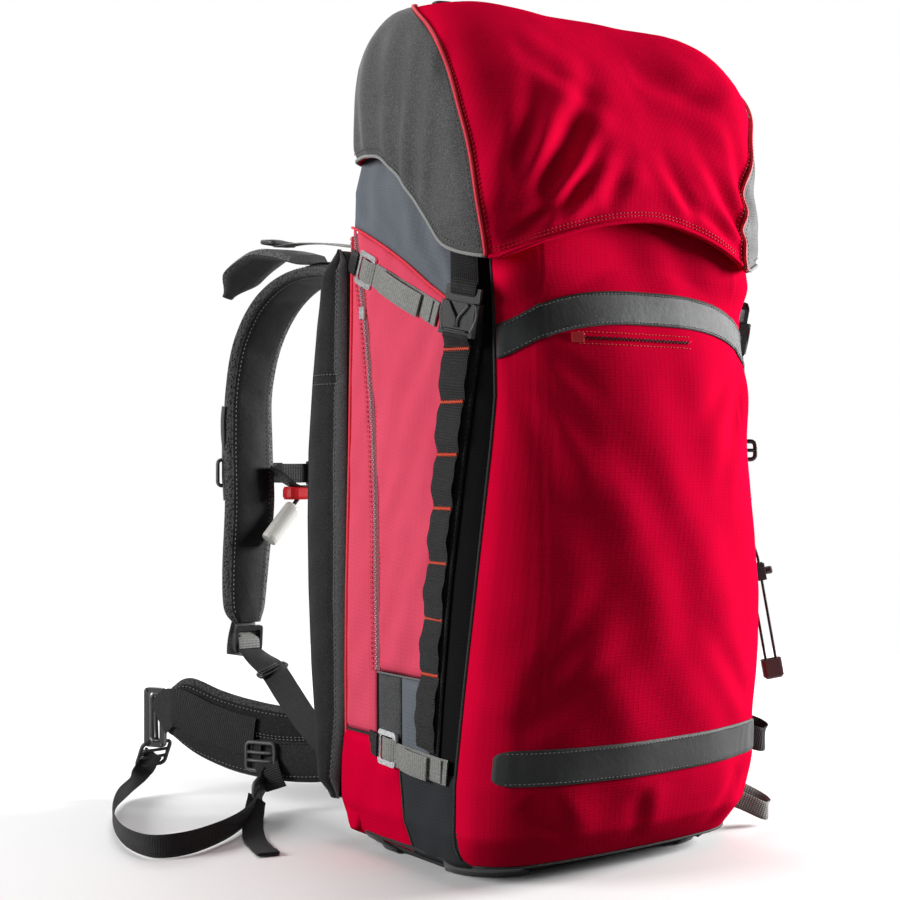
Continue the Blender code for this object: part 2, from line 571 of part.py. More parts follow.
# ---------------------------------------------------------------- shoulder straps
SP = [(-0.068, 0.1450, 0.4830), (-0.074, 0.1750, 0.5000), (-0.080, 0.2150, 0.5100), (-0.087, 0.2620, 0.5060), (-0.092, 0.3050, 0.4850), (-0.096, 0.3350, 0.4480),
      (-0.098, 0.3500, 0.4000), (-0.098, 0.3530, 0.3450), (-0.098, 0.3510, 0.2900), (-0.100, 0.3520, 0.2350), (-0.102, 0.3530, 0.1850), (-0.102, 0.3490, 0.1660)]
S_IN = [0.024, 0.026, 0.028, 0.029, 0.029, 0.028, 0.027, 0.029, 0.030, 0.027, 0.024, 0.016]
S_OUT = [0.022, 0.025, 0.028, 0.029, 0.029, 0.029, 0.028, 0.028, 0.028, 0.028, 0.025, 0.016]
path = smooth_path(SP, 25)
wides = []
for k in range(25):
    t = k / 24 * 11
    i0 = min(int(t), 10)
    f = t - i0
    wides.append((S_IN[i0] * (1 - f) + S_IN[i0 + 1] * f, S_OUT[i0] * (1 - f) + S_OUT[i0 + 1] * f))
strap = ribbon("shoulder_strap_left", path, (-1, 0, 0), wides, [0.008] + [0.013] * 22 + [0.010, 0.006], "black_mesh",
               pivot=(-SHOULDER_PIVOT[0], SHOULDER_PIVOT[1], SHOULDER_PIVOT[2]), chamfer=True)
mirrored(strap, "shoulder_strap_right")

route = smooth_path([(-0.101, 0.2800, 0.5380), (-0.107, 0.2350, 0.5370), (-0.115, 0.1800, 0.5310), (-0.123, 0.1350, 0.5240), (-0.127, 0.1060, 0.5190), (-0.128, 0.0850, 0.5170)], 11)
lifter = ribbon("load_lifter_left", route, (1, 0, 0.05), 0.0100, 0.0016, "grey_webbing")
mirrored(lifter, "load_lifter_right")

end = Vector((-0.102, 0.3455, 0.1560))
bk = axes((-0.102, 0.3475, 0.1500), (1, 0, 0), (0, 1, 0.08), (0, -0.08, 1))
lock = frame_plate("shoulder_buckle_left", rounded_rect(0.0155, 0.0130, 0.003), rounded_rect(0.0125, 0.0085, 0.002), 0.0045, bk, "black_plastic",
                   pivot=(-0.102, 0.3475, 0.1630))
mirrored(lock, "shoulder_buckle_right")
route = smooth_path([(-0.1020, 0.3430, 0.1390), (-0.1070, 0.3150, 0.1330), (-0.1170, 0.2700, 0.1270), (-0.1270, 0.2250, 0.1120), (-0.1350, 0.1800, 0.0950), (-0.1380, 0.1420, 0.0800)], 12)
ws = [Vector((1, 0, 0)) * (1 - k / 11) + Vector((0.25, 0.3, 1.0)) * (k / 11) for k in range(12)]
low = ribbon("shoulder_webbing_left", route, ws, WEB / 2, 0.0014, "black_webbing")
mirrored(low, "shoulder_webbing_right")

# ---------------------------------------------------------------- chest strap, buckled in the middle
cy = 0.3625
left = smooth_path([(-0.118, cy, CHEST_Z), (-0.085, cy, CHEST_Z), (-0.050, cy + 0.003, CHEST_Z - 0.001), (-0.0205, cy + 0.004, CHEST_Z - 0.001)], 8)
half = ribbon("chest_strap_left", left, (0, 0, 1), 0.0100, 0.0014, "black_webbing")
mirrored(half, "chest_strap_right")
cb = axes((0.0, cy + 0.004, CHEST_Z - 0.001), (0, 0, 1), (0, 1, 0), (1, 0, 0))
o = rounded_rect(0.0125, 0.0050, 0.0015, 2)
i = rounded_rect(0.0105, 0.0031, 0.0008, 2)
bm = loft_bm([[(x, y, -0.0198) for x, y in o], [(x, y, 0.0040) for x, y in o], [(x, y, 0.0040) for x, y in i], [(x, y, -0.0160) for x, y in i]])
bmesh.ops.transform(bm, matrix=cb, verts=bm.verts)
add("chest_buckle_female", bm, "black_plastic")
plate("chest_buckle_male", [(-0.0120, 0.0045), (-0.0120, 0.0198), (0.0120, 0.0198), (0.0120, 0.0045), (0.0090, 0.0045), (0.0090, -0.0120), (-0.0090, -0.0120), (-0.0090, 0.0045)],
      0.0045, cb, "black_plastic")

# ---------------------------------------------------------------- trigger on the left shoulder strap
T_AXIS = Vector((-0.66, -0.02, -0.75)).normalized()
T_TOP = Vector((-0.0440, 0.3370, 0.2960))
t_place = Matrix.Translation((-0.0460, 0.3350, 0.2970))
o = rounded_rect(0.0210, 0.0110, 0.0105, 4)
rings = [[(x * 0.93, y * 0.90, -0.0065) for x, y in o], [(x, y, -0.0035) for x, y in o], [(x, y, 0.0035) for x, y in o], [(x * 0.93, y * 0.90, 0.0065) for x, y in o]]
bm = loft_bm(rings)
bmesh.ops.transform(bm, matrix=t_place, verts=bm.verts)
add("trigger_socket", bm, "red_plastic")
turned("trigger_handle", [(0.0070, 0.0), (0.0082, 0.0015), (0.0086, 0.004), (0.0086, 0.042), (0.0080, 0.045)], T_TOP + T_AXIS * 0.0168, T_AXIS, "light_plastic", seg=20)

# ---------------------------------------------------------------- hip belt
HP = [(-0.0950, 0.1640, 0.0700), (-0.1060, 0.1830, 0.0665), (-0.1200, 0.2070, 0.0645), (-0.1360, 0.2350, 0.0650), (-0.1520, 0.2640, 0.0680), (-0.1690, 0.2950, 0.0750), (-0.1830, 0.3200, 0.0840), (-0.1930, 0.3380, 0.0860)]
H_UP = [0.030, 0.032, 0.034, 0.035, 0.036, 0.036, 0.036, 0.024]
H_DN = [0.030, 0.033, 0.035, 0.036, 0.036, 0.034, 0.030, 0.022]
path = smooth_path(HP, 15)
wides = []
for k in range(15):
    t = k / 14 * 7
    i0 = min(int(t), 6)
    f = t - i0
    wides.append((H_DN[i0] * (1 - f) + H_DN[i0 + 1] * f, H_UP[i0] * (1 - f) + H_UP[i0 + 1] * f))
hip_pivot = (-HIP_PIVOT[0], HIP_PIVOT[1], HIP_PIVOT[2])
wing = ribbon("hip_wing_left", path, (0, 0, 1), wides, [0.008] + [0.0125] * 13 + [0.007], "black_mesh", pivot=hip_pivot, chamfer=True)
mirrored(wing, "hip_wing_right")
tipdir = Vector((-0.52, 0.855, 0)).normalized()
fc = Vector((-0.1990, 0.3490, 0.0790)) + tipdir * 0.0050
frame_plate("hip_buckle_frame", rounded_rect(0.0115, 0.0290, 0.004), rounded_rect(0.0070, 0.0240, 0.0025), 0.0050,
            axes(fc, tipdir, (-0.855, -0.52, 0), (0, 0, 1)), "black_plastic", pivot=tuple(fc - tipdir * 0.0115))
tr = Vector((0.52, 0.855, 0)).normalized()
fr = Vector((0.1990, 0.3490, 0.0790)) + tr * 0.0050
hook = [(-0.0115, -0.026), (-0.0115, 0.026), (0.0005, 0.026), (0.0005, 0.012), (0.0135, 0.012), (0.0135, -0.012), (0.0005, -0.012), (0.0005, -0.026)]
plate("hip_buckle_hook", hook, 0.0045, axes(fr, tr, (0.855, -0.52, 0), (0, 0, 1)), "silver_metal", pivot=tuple(fr - tr * 0.0115))

# leg strap: from under the left hip buckle, down to the ground, round in a loop, and up to the wing's root
LEG = [(-0.2020, 0.3560, 0.0440), (-0.2100, 0.3630, 0.0270), (-0.2260, 0.3590, 0.0135), (-0.2520, 0.3280, 0.0112), (-0.2760, 0.2840, 0.0108), (-0.2980, 0.2300, 0.0108),
       (-0.3100, 0.1780, 0.0108), (-0.3050, 0.1400, 0.0108), (-0.2780, 0.1330, 0.0108), (-0.2420, 0.1480, 0.0108), (-0.2080, 0.1720, 0.0112), (-0.1780, 0.2020, 0.0125), (-0.1560, 0.2280, 0.0165)]
path = smooth_path(LEG, 37)
ribbon("leg_strap", path, (0, 0, 1), 0.0098, 0.0016, "black_webbing")

# ---------------------------------------------------------------- zip sliders
zc = 0.427
uz = -0.50
p = front_surface(uz, zc)
q = front_surface(uz + 0.02, zc)
tx = (q - p).normalized()
nz = Vector((tx.y, -tx.x, 0))
if nz.y > 0:
    nz = -nz
block("front_zip_slider", (0.0110, 0.0026, 0.0080), axes(p + nz * 0.0026, tx, nz, (0, 0, 1)), "red_plastic", 0.0006)
zs_y, zs_z = 0.0560, 0.4560
sl = block("side_zip_slider_left", (0.0026, 0.0080, 0.0110), Matrix.Translation((-(bag_side_x(zs_y, zs_z) + 0.0030), zs_y, zs_z)), "silver_metal", 0.0006)
mirrored(sl, "side_zip_slider_right")

# ---------------------------------------------------------------- gear cord on the right side, doubled back through its lock
R_AX = Vector((0.809, -0.588, 0.0))
U0, U1 = Vector((0.1650, -0.0910, 0.2440)), Vector((0.1800, -0.1000, 0.1480))
u = (U1 - U0).normalized()
off = R_AX - u * R_AX.dot(u)
off.normalize()
H = 0.0045
a0, a1 = U0 - off * H, U1 - off * H
b0, b1 = U0 + off * H, U1 + off * H
turn = [U1 + u * (H * math.sin(math.radians(s))) - off * (H * math.cos(math.radians(s))) for s in (30, 60, 90, 120, 150)]
down = smooth_path([(0.1560, -0.0862, 0.4240), (0.1580, -0.0865, 0.4080), (0.1590, -0.0865, 0.3800), (0.1585, -0.0868, 0.3400), (0.1585, -0.0872, 0.3000), (0.1595, -0.0880, 0.2700), tuple(a0)], 26)
line1 = [a0 + (a1 - a0) * (k / 9) for k in range(1, 10)]
line2 = [b1 + (b0 - b1) * (k / 9) for k in range(0, 10)]
up = smooth_path([tuple(b0), tuple(b0 - u * 0.012 - off * 0.002), (0.1615, -0.0835, 0.2680), (0.1600, -0.0800, 0.2780)], 8)[1:]
tube("gear_cord", down + line1 + turn + line2 + up, CORD_D / 2, "cord", res=2)


def cord_body(name, centre, depth, bottom, ow, oh, iw, ih, floor):
    place = axes(centre, off, u.cross(off), -u)
    oo = rounded_rect(ow, oh, min(oh * 0.7, 0.003), 2)
    ii = rounded_rect(iw, ih, ih * 0.9, 2)
    if floor is None:
        rings = [[(x, y, -depth / 2) for x, y in oo], [(x, y, depth / 2) for x, y in oo], [(x, y, depth / 2) for x, y in ii], [(x, y, -depth / 2) for x, y in ii]]
        bm = loft_bm(rings, wrap=True)
    else:
        rings = [[(x * 0.8, y * 0.8, -depth / 2) for x, y in oo], [(x, y, -depth / 2 + 0.002) for x, y in oo], [(x, y, depth / 2) for x, y in oo],
                 [(x, y, depth / 2) for x, y in ii], [(x, y, floor) for x, y in ii]]
        bm = loft_bm(rings)
    bmesh.ops.transform(bm, matrix=place, verts=bm.verts)
    return add(name, bm, "black_plastic")


lock_c = U0 + u * 0.0125
ow, oh, iw, ih, slot = 0.0085, 0.0055, 0.0063, 0.0019, 0.0038
oo = rounded_rect(ow, oh, 0.0012, 2)
outline = [(0.0061, slot), (ow, slot)] + oo + [(ow, -slot), (0.0061, -slot), (0.0061, -ih)]
for k in range(7):
    a = math.radians(-90 - 30 * k)
    outline.append((-iw + ih + ih * math.cos(a), ih * math.sin(a)))
outline.append((0.0061, ih))
bm = loft_bm([[(x, y, -0.0075) for x, y in outline], [(x, y, 0.0075) for x, y in outline]])
bmesh.ops.transform(bm, matrix=axes(lock_c, off, u.cross(off), -u), verts=bm.verts)
add("gear_cord_lock", bm, "black_plastic")
turned("gear_cord_lock_button", [(0.0028, 0.0), (0.0035, 0.0010), (0.0035, 0.0050), (0.0028, 0.0060)], lock_c + off * 0.0089, off, "black_plastic", seg=12)
cord_body("gear_cord_end", U1 + u * 0.0015, 0.0170, None, 0.0090, 0.0050, 0.0066, 0.0019, -0.0062)
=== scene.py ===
"""Looks of the avalanche airbag backpack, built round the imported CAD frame. Metres, +Z up, -Y front, -X wearer's left."""
import json
import math

import bmesh
import bpy
from mathutils import Matrix, Vector, noise


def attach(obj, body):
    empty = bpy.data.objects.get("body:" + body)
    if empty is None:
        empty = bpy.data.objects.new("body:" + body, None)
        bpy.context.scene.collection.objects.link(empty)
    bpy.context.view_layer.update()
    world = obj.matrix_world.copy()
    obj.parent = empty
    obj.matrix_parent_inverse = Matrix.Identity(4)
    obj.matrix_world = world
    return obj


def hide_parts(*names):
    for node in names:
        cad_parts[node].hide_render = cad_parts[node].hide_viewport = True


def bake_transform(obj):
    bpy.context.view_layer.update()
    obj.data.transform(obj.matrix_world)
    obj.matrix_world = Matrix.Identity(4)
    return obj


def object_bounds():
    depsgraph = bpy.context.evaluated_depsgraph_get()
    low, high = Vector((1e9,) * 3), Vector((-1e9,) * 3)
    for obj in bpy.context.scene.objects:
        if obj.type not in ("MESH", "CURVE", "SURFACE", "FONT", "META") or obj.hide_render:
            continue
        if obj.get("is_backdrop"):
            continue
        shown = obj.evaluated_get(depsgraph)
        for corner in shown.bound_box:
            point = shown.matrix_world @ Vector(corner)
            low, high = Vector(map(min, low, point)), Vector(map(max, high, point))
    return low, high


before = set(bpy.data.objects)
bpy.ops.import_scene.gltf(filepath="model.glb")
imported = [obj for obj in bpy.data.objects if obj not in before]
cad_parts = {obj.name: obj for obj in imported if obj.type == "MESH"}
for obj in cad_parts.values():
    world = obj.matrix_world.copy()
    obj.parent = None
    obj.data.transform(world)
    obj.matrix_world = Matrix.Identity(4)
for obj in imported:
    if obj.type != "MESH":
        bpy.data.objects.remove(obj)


def plain(v):
    return [plain(x) for x in v] if hasattr(v, "__len__") else float(v)


CAD_BOX = plain(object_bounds())
SCENE = bpy.context.scene

# ------------------------------------------------------------------ camera, floor, lights
cam_d = bpy.data.cameras.new("photo_camera")
cam_d.lens, cam_d.sensor_width, cam_d.shift_y = 62.4, 36.0, 0.00667
cam_d.clip_end = 50
cam = bpy.data.objects.new("photo_camera", cam_d)
cam.location = (-0.86680715, -1.05376273, 0.335)
cam.rotation_euler = (math.radians(90), 0, math.radians(-36))
SCENE.collection.objects.link(cam)
SCENE.camera = cam
SCENE.view_settings.view_transform = "Standard"


def light(name, loc, aim, size, power, colour=(1, 1, 1)):
    d = bpy.data.lights.new(name, "AREA")
    d.shape, d.size, d.energy, d.color = "DISK", size, power, colour
    o = bpy.data.objects.new(name, d)
    o.location = loc
    o.rotation_euler = (Vector(aim) - Vector(loc)).to_track_quat("-Z", "Y").to_euler()
    SCENE.collection.objects.link(o)


light("left_soft", (-2.1, 0.62, 0.9), (0, 0, 0.33), 1.1, 47)
light("right_front_soft", (2.15, -0.74, 0.75), (0, -0.05, 0.36), 0.9, 130)
light("top_soft", (0.1, 0.5, 2.4), (0, 0, 0.4), 1.6, 18)
light("rear_soft", (0.4, 2.1, 1.3), (0, 0, 0.35), 1.6, 22)
world = bpy.data.worlds.new("studio")
SCENE.world = world
world.use_nodes = True
wt = world.node_tree
wt.nodes["Background"].inputs["Color"].default_value = (1, 1, 1, 1)
wt.nodes["Background"].inputs["Strength"].default_value = 0.13
seen = wt.nodes.new("ShaderNodeBackground")
seen.inputs["Color"].default_value = (1, 1, 1, 1)
seen.inputs["Strength"].default_value = 1.0
pick, path_ = wt.nodes.new("ShaderNodeMixShader"), wt.nodes.new("ShaderNodeLightPath")
wt.links.new(path_.outputs["Is Camera Ray"], pick.inputs[0])
wt.links.new(wt.nodes["Background"].outputs[0], pick.inputs[1])
wt.links.new(seen.outputs[0], pick.inputs[2])
wt.links.new(pick.outputs[0], wt.nodes["World Output"].inputs[0])


# ------------------------------------------------------------------ outline functions shared with the CAD
HOOD_PIVOT = (0.0, 0.090, 0.500)
WEB = 0.025
BAG_Z = [0.0, 0.012, 0.04, 0.08, 0.15, 0.22, 0.28, 0.34, 0.40, 0.45, 0.50, 0.53, 0.555, 0.585, 0.610, 0.630]
BAG_HX = [0.124, 0.141, 0.151, 0.154, 0.1545, 0.154, 0.1525, 0.151, 0.150, 0.149, 0.1485, 0.1475, 0.146, 0.132, 0.090, 0.046]
BAG_YF = [-0.074, -0.096, -0.106, -0.111, -0.1125, -0.113, -0.1115, -0.110, -0.107, -0.104, -0.099, -0.094, -0.086, -0.074, -0.062, -0.056]
BAG_YB = [0.062, 0.070, 0.075, 0.076, 0.076, 0.076, 0.076, 0.076, 0.076, 0.076, 0.076, 0.075, 0.072, 0.066, 0.052, 0.036]
BAG_BULGE = [0.0, 0.002, 0.006, 0.008, 0.008, 0.008, 0.008, 0.008, 0.008, 0.008, 0.008, 0.006, 0.003, 0.0, 0.0, 0.0]
BACK_Z = [0.0, 0.012, 0.04, 0.08, 0.15, 0.22, 0.28, 0.34, 0.40, 0.45, 0.50, 0.53]
BACK_Y = [0.092, 0.104, 0.117, 0.125, 0.134, 0.139, 0.1405, 0.139, 0.132, 0.124, 0.112, 0.100]


def interp(x, xs, ys):
    if x <= xs[0]:
        return ys[0]
    for i in range(1, len(xs)):
        if x <= xs[i]:
            f = (x - xs[i - 1]) / (xs[i] - xs[i - 1])
            return ys[i - 1] + (ys[i] - ys[i - 1]) * f
    return ys[-1]


def curve(x, xs, ys):
    """smooth cubic through the table"""
    n = len(xs)
    if x <= xs[0]:
        return ys[0]
    if x >= xs[-1]:
        return ys[-1]
    i = next(k for k in range(1, n) if x <= xs[k])
    h = xs[i] - xs[i - 1]
    f = (x - xs[i - 1]) / h

    def slope(k):
        if k == 0 or k == n - 1:
            j = 1 if k == 0 else n - 1
            return (ys[j] - ys[j - 1]) / (xs[j] - xs[j - 1])
        a = (ys[k] - ys[k - 1]) / (xs[k] - xs[k - 1])
        b = (ys[k + 1] - ys[k]) / (xs[k + 1] - xs[k])
        return 0.0 if a * b <= 0 else 2 * a * b / (a + b)
    m0, m1 = slope(i - 1) * h, slope(i) * h
    return ((2 * f ** 3 - 3 * f ** 2 + 1) * ys[i - 1] + (f ** 3 - 2 * f ** 2 + f) * m0 + (-2 * f ** 3 + 3 * f ** 2) * ys[i] + (f ** 3 - f ** 2) * m1)


def bag_dims(z):
    hx, yf, yb = interp(z, BAG_Z, BAG_HX), interp(z, BAG_Z, BAG_YF), interp(z, BAG_Z, BAG_YB)
    return hx, yf, yb, min(0.046, 0.9 * hx), interp(z, BAG_Z, BAG_BULGE)


def back_y(z):
    return interp(z, BACK_Z, BACK_Y)


def bag_side_x(y, z):
    hx, yf, yb, rc, bulge = bag_dims(z)
    if y >= yf + rc:
        return hx
    d = min(abs(y - (yf + rc)), rc * 0.999)
    return hx - rc + math.sqrt(rc * rc - d * d)


def front_point(u, z, off):
    hx, yf, yb, rc, bulge = bag_dims(z)
    s, a, flat = (1 if u >= 0 else -1), abs(u), 0.70
    if a <= flat:
        x = a / flat * (hx - rc)
        y = yf - bulge * (1 - (x / (hx - rc)) ** 2)
        n = Vector((2 * bulge * x / (hx - rc) ** 2, -1.0, 0)).normalized()
    else:
        t = (a - flat) / (1 - flat) * math.radians(interp(z, [0.08, 0.38], [72.0, 43.0 if u > 0 else 35.0]))
        x, y = hx - rc + rc * math.sin(t), yf + rc - rc * math.cos(t)
        n = Vector((math.sin(t), -math.cos(t), 0))
    return Vector((s * (x + n.x * off), y + n.y * off, z))


def pocket_thick(z):
    t = (z - 0.012) / (0.505 - 0.012)
    return 0.004 + 0.030 * (math.sin(math.pi * min(max(t, 0.0), 1.0)) ** 0.45)


def front_surface(u, z, extra=0.0):
    a = abs(u)
    return front_point(u, z, 0.0031 + (pocket_thick(z) - 0.0015) * (1 - a ** 2.6) + extra)


def daisy_y(z):
    return -0.0765 + 0.0345 * max(0.0, (0.43 - z) / 0.352) ** 1.2


def smooth_path(points, count):
    pts = [Vector(p) for p in points]
    ext = [pts[0] * 2 - pts[1]] + pts + [pts[-1] * 2 - pts[-2]]
    out = []
    for i in range(count):
        t = i / (count - 1) * (len(pts) - 1)
        k = min(int(t), len(pts) - 2)
        f = t - k
        a, b, c, d = ext[k], ext[k + 1], ext[k + 2], ext[k + 3]
        out.append(0.5 * ((2 * b) + (c - a) * f + (2 * a - 5 * b + 4 * c - d) * f ** 2 + (3 * b - a - 3 * c + d) * f ** 3))
    return out


def sstep(x, a, b):
    t = min(max((x - a) / (b - a), 0.0), 1.0)
    return t * t * (3 - 2 * t)


def nz(p, scale, seed=0.0):
    """smooth noise about -1..1"""
    return noise.noise(Vector((p[0] * scale + seed, p[1] * scale + seed * 0.7, p[2] * scale - seed)))


# ------------------------------------------------------------------ materials
class Mat:
    def __init__(self, name, rough=0.6, metal=0.0, **sockets):
        self.m = bpy.data.materials.new(name)
        self.m.use_nodes = True
        self.t = self.m.node_tree
        self.b = self.t.nodes["Principled BSDF"]
        self.b.inputs["Roughness"].default_value = rough
        self.b.inputs["Metallic"].default_value = metal
        for k, v in sockets.items():
            self.b.inputs[k.replace("_", " ")].default_value = v
        self.co = self.t.nodes.new("ShaderNodeTexCoord")

    def put(self, sock, v):
        if isinstance(v, bpy.types.NodeSocket):
            self.t.links.new(v, sock)
        else:
            sock.default_value = v

    def math(self, op, a, b=0.0, clamp=False):
        n = self.t.nodes.new("ShaderNodeMath")
        n.operation, n.use_clamp = op, clamp
        self.put(n.inputs[0], a)
        self.put(n.inputs[1], b)
        return n.outputs[0]

    def uv(self):
        n = self.t.nodes.new("ShaderNodeSeparateXYZ")
        self.t.links.new(self.co.outputs["UV"], n.inputs[0])
        return n.outputs[0], n.outputs[1]

    def wave(self, c, period, sharp=1.0, phase=0.0):
        """0..1 ridges along one coordinate"""
        s = self.math("SINE", self.math("ADD", self.math("MULTIPLY", c, 2 * math.pi / period), phase))
        h = self.math("ADD", self.math("MULTIPLY", s, 0.5), 0.5)
        return self.math("POWER", h, sharp) if sharp != 1.0 else h

    def noise(self, scale, detail=2.0, rough=0.5, where="Object", dist=0.0):
        n = self.t.nodes.new("ShaderNodeTexNoise")
        n.inputs["Scale"].default_value, n.inputs["Detail"].default_value = scale, detail
        n.inputs["Roughness"].default_value, n.inputs["Distortion"].default_value = rough, dist
        self.t.links.new(self.co.outputs[where], n.inputs["Vector"])
        return n.outputs["Fac"]

    def voronoi(self, scale, where="Object", feature="F1"):
        n = self.t.nodes.new("ShaderNodeTexVoronoi")
        n.feature = feature
        n.inputs["Scale"].default_value = scale
        self.t.links.new(self.co.outputs[where], n.inputs["Vector"])
        return n.outputs["Distance"]

    def ramp(self, fac, lo, hi):
        n = self.t.nodes.new("ShaderNodeMapRange")
        n.inputs["From Min"].default_value, n.inputs["From Max"].default_value = lo, hi
        self.put(n.inputs["Value"], fac)
        return n.outputs["Result"]

    def mix(self, fac, a, b):
        n = self.t.nodes.new("ShaderNodeMix")
        n.data_type = "RGBA"
        self.put(n.inputs[0], fac)
        self.put(n.inputs[6], (*a, 1) if isinstance(a, tuple) else a)
        self.put(n.inputs[7], (*b, 1) if isinstance(b, tuple) else b)
        return n.outputs[2]

    def colour(self, c):
        self.put(self.b.inputs["Base Color"], (*c, 1) if isinstance(c, tuple) else c)

    def rough(self, v):
        self.put(self.b.inputs["Roughness"], v)

    def bump(self, height, strength, dist):
        n = self.t.nodes.new("ShaderNodeBump")
        n.inputs["Strength"].default_value, n.inputs["Distance"].default_value = strength, dist
        self.put(n.inputs["Height"], height)
        self.t.links.new(n.outputs["Normal"], self.b.inputs["Normal"])


def ripstop(name, base, dark, lines=0.0026, sheen=0.25, rough=0.6, strength=0.35):
    """plain-weave nylon with raised ripstop threads, mostly along the width, and faint crumple shading"""
    m = Mat(name, rough, Sheen_Weight=sheen * 0.03, Sheen_Roughness=0.35, Sheen_Tint=(min(1, base[0] * 1.5), min(1, base[1] * 1.5), min(1, base[2] * 1.5), 1), Specular_IOR_Level=0.0)
    u, v = m.uv()
    rip = m.math("ADD", m.wave(v, lines, 5.0), m.math("MULTIPLY", m.wave(u, lines * 2, 9.0), 0.7))
    weave = m.math("MULTIPLY", m.wave(u, 0.0007), m.wave(v, 0.0007))
    tone = m.math("MULTIPLY", m.ramp(m.noise(9.0, 4.0, 0.6), 0.35, 0.75), 0.42)
    tone = m.math("ADD", tone, m.math("MULTIPLY", rip, 0.11))
    tone = m.math("ADD", tone, m.math("MULTIPLY", m.ramp(m.noise(700.0, 1.0), 0.3, 0.7), 0.14), clamp=True)
    m.colour(m.mix(tone, base, dark))
    m.rough(m.math("ADD", rough - 0.08, m.math("MULTIPLY", m.noise(40.0, 3.0), 0.18)))
    h = m.math("ADD", m.math("MULTIPLY", rip, 0.6), m.math("MULTIPLY", weave, 0.4))
    m.bump(m.math("ADD", h, m.math("MULTIPLY", m.noise(60.0, 4.0, 0.6), 2.2)), strength, 0.0006)
    return m.m


def softshell(name, base, speck, amount=0.5, rough=0.78, sheen=0.35, fine=900.0, cell=0.0011):
    """brushed stretch-woven cloth with a light speckle"""
    m = Mat(name, rough, Sheen_Weight=sheen * 0.25, Sheen_Roughness=0.5, Specular_IOR_Level=0.16)
    u, v = m.uv()
    sp = m.math("MULTIPLY", m.ramp(m.noise(fine, 1.0), 0.46, 0.68), amount, clamp=True)
    big = m.math("MULTIPLY", m.ramp(m.noise(14.0, 3.0), 0.3, 0.8), 0.3)
    m.colour(m.mix(m.math("ADD", sp, m.math("MULTIPLY", big, amount), clamp=True), base, speck))
    m.rough(m.math("ADD", rough - 0.06, m.math("MULTIPLY", m.noise(55.0, 3.0), 0.14)))
    w = m.math("ADD", m.wave(u, cell), m.wave(v, cell))
    m.bump(m.math("ADD", m.math("MULTIPLY", w, 0.35), m.math("MULTIPLY", m.noise(120.0, 4.0, 0.65), 2.0)), 0.4, 0.0006)
    return m.m


def webbing_mat(name, base, light, rough=0.62, rib=0.0021):
    """woven webbing: ribs across, warp lines along; u runs across and v along"""
    m = Mat(name, rough, Sheen_Weight=0.04, Sheen_Roughness=0.4, Specular_IOR_Level=0.22)
    u, v = m.uv()
    warp = m.wave(u, 0.0016, 1.0)
    weft = m.wave(v, rib, 1.0)
    tw = m.math("MULTIPLY", warp, weft)
    tone = m.math("ADD", m.math("MULTIPLY", tw, 0.55), m.math("MULTIPLY", m.ramp(m.noise(500.0, 2.0), 0.35, 0.7), 0.35), clamp=True)
    m.colour(m.mix(tone, base, light))
    m.rough(m.math("ADD", rough - 0.05, m.math("MULTIPLY", m.noise(80.0, 2.0), 0.12)))
    m.bump(m.math("ADD", tw, m.math("MULTIPLY", weft, 0.5)), 0.55, 0.0006)
    return m.m


def mesh_mat(name, base, hole, scale=330.0, rough=0.85):
    """knitted spacer mesh with small round holes"""
    m = Mat(name, rough, Sheen_Weight=0.05, Sheen_Roughness=0.6, Specular_IOR_Level=0.12)
    d = m.voronoi(scale)
    open_ = m.ramp(d, 0.20, 0.55)
    m.colour(m.mix(m.math("ADD", m.math("MULTIPLY", open_, 0.9), m.math("MULTIPLY", m.noise(30.0, 3.0), 0.15), clamp=True), hole, base))
    m.bump(open_, 0.6, 0.0012)
    return m.m


def moulded(name, base, worn, rough=0.42, grain=1400.0, metal=0.0, scratch=0.12):
    """moulded plastic or pressed metal: fine spark-eroded grain, slight worn edges and handling marks"""
    m = Mat(name, rough, metal)
    wear = m.ramp(m.noise(95.0, 5.0, 0.7), 0.50, 0.78)
    m.colour(m.mix(m.math("MULTIPLY", wear, scratch * 3, clamp=True), base, worn))
    m.rough(m.math("ADD", rough - 0.05, m.math("MULTIPLY", m.noise(220.0, 4.0, 0.7), scratch + 0.06)))
    m.bump(m.math("ADD", m.noise(grain, 2.0), m.math("MULTIPLY", m.noise(45.0, 3.0), 0.6)), 0.25, 0.0004)
    return m.m


RED = ripstop("red_ripstop", (0.72, 0.0022, 0.038), (0.52, 0.0020, 0.023), strength=0.24)
# painted light: this is the front's red cloth made lighter and pinker, standing in for the left lamp lighting the side
# panels; it is the same cloth as RED
RED_SIDE_PAINTED_LIGHT = ripstop("red_side_cloth", (0.76, 0.088, 0.150), (0.60, 0.050, 0.098), lines=0.0034, sheen=0.5, strength=0.3)
RED_DEEP = ripstop("red_lower_cloth", (0.70, 0.0010, 0.036), (0.52, 0.0008, 0.022), lines=0.0034, strength=0.3)
CHARCOAL = softshell("charcoal_speckle", (0.052, 0.052, 0.053), (0.125, 0.125, 0.127), 0.75, 0.60, 0.5)
SLATE = ripstop("slate_cloth", (0.160, 0.174, 0.198), (0.095, 0.104, 0.120), lines=0.0030, sheen=0.4)
SLATE_DARK = ripstop("dark_slate_cloth", (0.044, 0.046, 0.050), (0.026, 0.027, 0.030), lines=0.0030, sheen=0.3)
GUSSET = ripstop("dark_gusset", (0.014, 0.0135, 0.0145), (0.007, 0.007, 0.008), lines=0.0030, sheen=0.2)
ZIP_TAPE = softshell("zip_tape_cloth", (0.20, 0.075, 0.090), (0.34, 0.15, 0.17), 0.4, 0.7, 0.1)
SOFT = softshell("black_softshell_cloth", (0.0080, 0.0080, 0.0088), (0.036, 0.036, 0.038), 0.6, 0.8, 0.20)
SOFT_GREY = softshell("grey_panel_cloth", (0.052, 0.053, 0.054), (0.130, 0.131, 0.132), 0.6, 0.8, 0.3)
